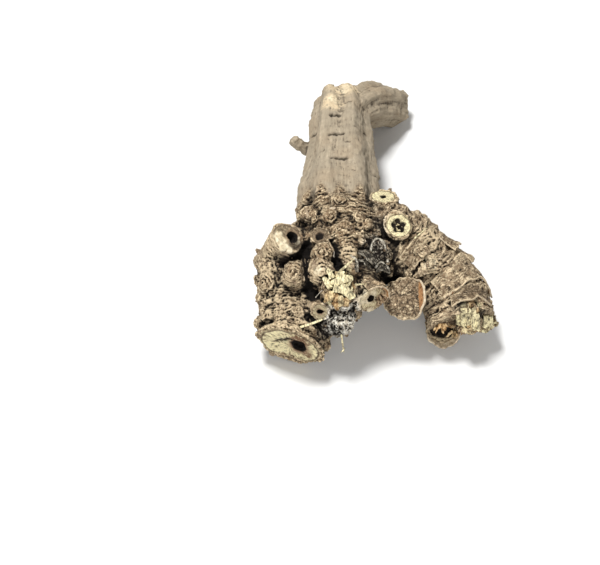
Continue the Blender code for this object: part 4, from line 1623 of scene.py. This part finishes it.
def fibre_shape(t):
    """A thin upright fibre, one unit long, which remembers how far up it each point is."""
    line = t.add("GeometryNodeCurvePrimitiveLine", {"Start": (0.0, 0.0, -0.08), "End": (0.0, 0.0, 1.0)})
    line = t.add("GeometryNodeResampleCurve", {"Curve": line, "Count": 9})
    ring = t.add("GeometryNodeCurvePrimitiveCircle", {"Resolution": 3, "Radius": 0.045})
    tube = t.add("GeometryNodeCurveToMesh", {"Curve": line, "Profile Curve": ring, "Fill Caps": True})
    height = t.add("ShaderNodeSeparateXYZ", {0: t.add("GeometryNodeInputPosition")}, out=2)
    stored = {"Geometry": tube, "Name": "height", "Value": height}
    return t.add("GeometryNodeStoreNamedAttribute", stored, data_type="FLOAT", domain="POINT")


def scatter_tree(name, shape, where, lean, curl=0.0):
    """Geometry nodes that scatter one shape over the skin, as densely as an attribute of it says."""
    sizes = dict.fromkeys(("Density", "Smallest", "Largest"), "Float")
    t, given = geometry_group(name, {**sizes, "Seed": "Int", "Material": "Material"})
    share = t.add("GeometryNodeInputNamedAttribute", {"Name": where}, data_type="FLOAT")
    density = share * given["Density"]
    sown = {"Mesh": given["Geometry"], "Density": density, "Seed": given["Seed"]}
    points = t.add("GeometryNodeDistributePointsOnFaces", sown)
    upright = points.beside("Rotation")
    tilt = {"Min": (-lean, -lean, -math.pi), "Max": (lean, lean, math.pi), "Seed": given["Seed"]}
    tilt = t.add("FunctionNodeRandomValue", tilt, data_type="FLOAT_VECTOR")
    tilt = t.add("FunctionNodeEulerToRotation", {0: tilt})
    turned = {"Rotation": upright, "Rotate By": tilt}
    turned = t.add("FunctionNodeRotateRotation", turned, rotation_space="LOCAL")
    size = t.tree.nodes.new("FunctionNodeRandomValue")
    size.data_type = "FLOAT"
    low, high = [s for s in size.inputs if s.name in ("Min", "Max") and s.enabled]
    t.give(low, given["Smallest"])
    t.give(high, given["Largest"])
    t.give(size.inputs["Seed"], SIZE_SEED)
    drawn = next(s for s in size.outputs if s.enabled)
    placed_at = {"Points": points, "Instance": shape(t), "Rotation": turned, "Scale": drawn}
    made = t.add("GeometryNodeInstanceOnPoints", placed_at)
    made = t.add("GeometryNodeRealizeInstances", {"Geometry": made})
    if curl:
        at = t.scaled(t.add("GeometryNodeInputPosition"), 1 / MM)
        height = t.add("GeometryNodeInputNamedAttribute", {"Name": "height"}, data_type="FLOAT")
        drift = t.drift(at, 0.35, 2.0)
        drift = t.scaled(drift, height * curl)
        made = t.add("GeometryNodeSetPosition", {"Geometry": made, "Offset": drift})
    return t.finished(t.add("GeometryNodeSetMaterial", {"Geometry": made, "Material": given["Material"]}))


# ---- operators ------------------------------------------------------------------------------------


def geometry_modifier(obj, group, values):
    """Adds a geometry nodes modifier with its named inputs set."""
    modifier = obj.modifiers.new(group.name, "NODES")
    modifier.node_group = group
    for item in group.interface.items_tree:
        if item.item_type == "SOCKET" and item.in_out == "INPUT" and item.name in values:
            modifier[item.identifier] = values[item.name]
    return modifier


def mark_the_skin(mesh, domes):
    """Stores on each point of the skin what bark or wood it is, and its places for the patterns."""
    points = points_of(mesh)
    found = lie_of_the_bark(points)
    ring_the_domes(points, found, domes)
    collar = smoothstep(*COLLAR, points[:, 1] + COLLAR_WANDER * np.sin(points[:, 0] * COLLAR_TURNS))
    on_taproot = found["limb"] == 0
    found["age"] = np.where(on_taproot, collar, found["age"])
    found["crumble"] = np.where(on_taproot, COLLAR_CRUMBLE * collar, found["crumble"])
    found["crack"] = cracks_at(points, found, random.Random(CRACK_SEED))
    torn = marked(points, "wood")
    found["fresh"] = np.where(torn > found["wood"], 1.0, found["fresh"])
    found["wood"] = np.maximum(found["wood"], torn)
    found["pith"] = np.maximum(found["pith"], marked(points, "hole"))
    lapped = marked(points, "bark")
    for name in ("wood", "sawn"):
        found[name] *= 1 - lapped
    for kind in COLOUR_MARKS:
        found[kind] = marked(points, kind)
    found["crumble"] *= 1 - marked(points, "calm")
    found["shed"] = found["crumble"] * (1 - found["wood"]) * (1 - found["pith"]) * (found["age"] > 0.5)
    found["shed"] *= 1 - found["ash"]
    for name, rounds in SPREAD_ROUNDS.items():
        found[name] = diffused(mesh, found[name], rounds)
    for name in SKIN_MARKS:
        store(mesh, name, found[name])

    spoke = np.stack([np.cos(found["turn"]), np.sin(found["turn"])], 1)
    radius, along = found["radius"][:, None], found["along"][:, None]
    places = {
        "fibre_at": (radius * spoke, along * 0.07),
        "face_at": (found["share"][:, None] * spoke, found["limb"][:, None]),
        "split_at": (found["local"], along * 0.3),
    }
    for name, columns in places.items():
        store(mesh, name, np.hstack(columns), "FLOAT_VECTOR")


def raise_the_relief(skin, bark):
    """Gives the skin its bark, and notes what stands out of its surroundings."""
    sizes = {
        "Wrinkle Pitch": bark.wrinkle_pitch,
        "Wrinkle Depth": bark.wrinkle_depth,
        "Crumb Size": bark.crumb_size,
        "Crumb Height": bark.crumb_height,
        "Fibre Depth": bark.fibre_depth,
        "Bark": bark_material(bark),
    }
    geometry_modifier(skin, relief_tree(), sizes)
    bake(skin)
    above_floor(skin.data)
    # crest drives the painted highlights and shade in the bark's colour.
    store(skin.data, "crest", 0.6 * standing_out(skin.data, 6) + 0.4 * standing_out(skin.data, 20))


class ROOT_OT_skin(bpy.types.Operator):
    """Grows the limbs together and raises the bark's relief on them"""

    bl_idname = "root.skin"
    bl_label = "Grow the skin"

    def execute(self, context):
        bark = context.scene.root_bark
        bodies = [limb_body(limb) for limb in LIMBS]
        draw, domes = random.Random(WART_SEED), []
        for limb in MAIN_LIMBS:
            if limb.name in WARTS:
                warts, tops = warts_on(limb, *WARTS[limb.name], draw)
                bodies += warts
                domes += tops
        skin = grown_together(bodies, "root_skin")
        remesh = skin.modifiers.new("Even", "REMESH")
        remesh.mode = "VOXEL"
        remesh.voxel_size = bark.grain
        bake(skin)
        keep_outer_body(skin)
        mark_the_skin(skin.data, domes)
        raise_the_relief(skin, bark)
        thin_out(skin, SKIN_FACETS)
        mesh = skin.data
        rays = SKY_RAYS
        store(mesh, "open_sky", diffused(mesh, sky_seen(mesh, rays, SKY_REACH), 1))
        mesh.shade_smooth()
        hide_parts("root")
        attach(skin, "root")
        return {"FINISHED"}


class ROOT_OT_sheets(bpy.types.Operator):
    """Bends the sprung bark plate, the lifted scales and the dark curls"""

    bl_idname = "root.sheets"
    bl_label = "Spring the bark sheets"

    def execute(self, context):
        outer = bpy.data.materials["dry_bark"]
        inner, rim = speckled_material("sheet_inside"), speckled_material("sheet_rim")
        made = [sprung_sheet("bark_plate", plate_rows(), PLATE_THICK, (outer, inner, rim), 0.3, PLATE_ROLLED)]
        for number, scale in enumerate(SCALES, 1):
            rows = scale_rows(scale)
            tone = 0.5 + 0.5 * math.sin(number * 2.4)
            inside = rim if scale.limb == "right_end_hollow" else inner
            made.append(sprung_sheet(f"bark_scale_{number}", rows, SCALE_THICK, (outer, inside, rim), tone))
        # The curls' faces take the painted shade, their rims the painted highlight.
        shade, lit = speckled_material("curl_shade"), speckled_material("curl_rim_highlight")
        for number, (points, width_way, half, turn_up) in enumerate(CURLS, 1):
            rows = curl_rows(points, width_way, half, turn_up)
            made.append(sprung_sheet(f"dark_curl_{number}", rows, CURL_THICK, (shade, shade, lit)))
        for sheet in made:
            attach(sheet, "root")
        return {"FINISHED"}


class ROOT_OT_splinters(bpy.types.Operator):
    """Stands splinters on the torn wood"""

    bl_idname = "root.splinters"
    bl_label = "Tear the wood"

    def execute(self, context):
        draw = random.Random(SPLINTER_SEED)
        bm = bmesh.new()
        bm.verts.layers.float.new("brown")
        for middle, way, spread, (longest, widest), count, brown in TORN_WOOD:
            way = Vector(way).normalized()
            side = way.cross(Vector((0, 0, 1))).normalized()
            over = side.cross(way)
            for _ in range(count):
                turn, out = draw.uniform(0, 2 * math.pi), spread * math.sqrt(draw.random())
                spoke = side * math.cos(turn) + over * math.sin(turn)
                sink = 0.45 * out * out / spread
                foot = Vector(middle) + spoke * out - way * sink
                lean = (way + spoke * draw.uniform(-0.7, 1.3)).normalized()
                edge = (spoke.cross(way) + spoke * draw.uniform(-0.8, 0.8)).normalized()
                sizes = (
                    longest * draw.uniform(0.5, 1.0),
                    widest * draw.uniform(0.4, 1.0),
                    draw.uniform(0.25, 0.6),
                )
                shard(bm, foot, lean, edge, sizes, brown + draw.uniform(-0.2, 0.35), 0.8, draw)
        for start, end, width, thick, brown, point in BLADES:
            way = Vector(end) - Vector(start)
            side = way.cross(Vector((0.1, -0.5, 0.8))).normalized()
            shard(bm, Vector(start), way.normalized(), side, (way.length, width, thick), brown, point, draw)
        bmesh.ops.recalc_face_normals(bm, faces=bm.faces)
        made = object_from(bm, "torn_splinters")
        made.data.materials.append(wood_material(context.scene.root_bark))
        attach(made, "root")
        return {"FINISHED"}


class ROOT_OT_loose(bpy.types.Operator):
    """Scatters flakes, crumbs and fibres over the rough bark"""

    bl_idname = "root.loose"
    bl_label = "Scatter the loose bark"

    def execute(self, context):
        loose = context.scene.root_loose
        skin = bpy.data.objects["root_skin"]
        finishes = ("flake_bark", "crumb_bark", "fibre", "frizz")
        flake, crumb, fibre, frizz = (speckled_material(name) for name in finishes)
        kinds = (
            ("bark_flakes", flake_shape, "shed", 0.55, 0.0, loose.flake_density, loose.flake_size, flake),
            ("bark_crumbs", crumb_shape, "shed", 3.0, 0.0, loose.crumb_density, loose.crumb_size, crumb),
            ("bark_fibres", fibre_shape, "shed", 1.2, 0.004, loose.fibre_density, loose.fibre_length, fibre),
            ("knob_frizz", fibre_shape, "frizz", 1.3, 0.004, loose.frizz_density, loose.frizz_length, frizz),
        )
        for seed, (name, shape, where, lean, curl, density, size, material) in enumerate(kinds, LOOSE_SEED):
            made = bpy.data.objects.new(name, skin.data.copy())
            context.scene.collection.objects.link(made)
            values = {
                "Density": density,
                "Smallest": size * 0.3,
                "Largest": size,
                "Seed": seed,
                "Material": material,
            }
            geometry_modifier(made, scatter_tree(name, shape, where, lean, curl), values)
            bake(made)
            above_floor(made.data)
            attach(made, "root")
        return {"FINISHED"}


class ROOT_OT_stage(bpy.types.Operator):
    """Sets the floor, the light and the camera"""

    bl_idname = "root.stage"
    bl_label = "Set the stage"

    def execute(self, context):
        stage = context.scene.root_stage
        scene = context.scene
        bpy.ops.mesh.primitive_plane_add(size=4.0)
        floor = context.object
        floor.name = "floor"
        floor.data.materials.append(plain_material("floor_paint", tuple(stage.floor_colour), 0.9))
        lamp(scene, "key_light", Vector((-0.16, 0.10, 0.65)), 0.14, stage.key_power)
        lamp(scene, "front_light", Vector((-0.05, -0.62, 0.30)), 0.35, stage.fill_power)
        world = bpy.data.worlds.new("studio")
        world.use_nodes = True
        sky = world.node_tree.nodes["Background"]
        sky.inputs["Color"].default_value = (1.0, 1.0, 1.0, 1.0)
        sky.inputs["Strength"].default_value = stage.sky
        scene.world = world
        scene.view_settings.view_transform = "Standard"

        up = Vector((0, math.sin(CAMERA_RISE), math.cos(CAMERA_RISE)))
        toward = Vector((0, -math.cos(CAMERA_RISE), math.sin(CAMERA_RISE)))
        across, down = CROWN_PIXEL[0] - PHOTO_SIZE[0] / 2, CROWN_PIXEL[1] - PHOTO_SIZE[1] / 2
        scale = CAMERA_REACH / FOCAL_PX
        eye = CROWN_TOP - RIGHT * across * scale + up * down * scale + toward * CAMERA_REACH
        data = bpy.data.cameras.new("photo_camera")
        data.sensor_width = 36.0
        data.lens = 36.0 * FOCAL_PX / PHOTO_SIZE[0]
        data.clip_start = 0.01
        camera = bpy.data.objects.new("photo_camera", data)
        scene.collection.objects.link(camera)
        axes = Matrix((RIGHT, up, toward)).transposed().to_4x4()
        camera.matrix_world = Matrix.Translation(placed(eye)) @ axes
        scene.camera = camera
        return {"FINISHED"}


def lamp(scene, name, place, size, power):
    """An area lamp that faces the root."""
    data = bpy.data.lights.new(name, "AREA")
    data.size = size
    data.energy = power
    made = bpy.data.objects.new(name, data)
    made.location = place
    made.rotation_euler = place.to_track_quat("Z", "Y").to_euler()
    scene.collection.objects.link(made)
    return made


class ROOT_PT_panel(bpy.types.Panel):
    """Lists the root's steps in the order in which they run"""

    bl_label = "Hollyhock Root"
    bl_space_type = "VIEW_3D"
    bl_region_type = "UI"
    bl_category = "Root"

    def draw(self, context):
        for group in (getattr(context.scene, name) for name in GROUPS):
            box = self.layout.box()
            for name in group.__annotations__:
                box.prop(group, name)
        for step in STEPS:
            self.layout.operator(step.bl_idname)


STEPS = (ROOT_OT_skin, ROOT_OT_sheets, ROOT_OT_splinters, ROOT_OT_loose, ROOT_OT_stage)
GROUPS = {"root_bark": BarkSettings, "root_loose": LooseSettings, "root_stage": StageSettings}


def register():
    for cls in (*GROUPS.values(), *STEPS, ROOT_PT_panel):
        bpy.utils.register_class(cls)
    for name, group in GROUPS.items():
        setattr(bpy.types.Scene, name, PointerProperty(type=group))


def unregister():
    for name in GROUPS:
        delattr(bpy.types.Scene, name)
    for cls in reversed((*GROUPS.values(), *STEPS, ROOT_PT_panel)):
        bpy.utils.unregister_class(cls)


def main():
    register()
    bpy.ops.root.skin()
    bpy.ops.root.sheets()
    bpy.ops.root.splinters()
    bpy.ops.root.loose()
    bpy.ops.root.stage()


if __name__ == "__main__":
    main()
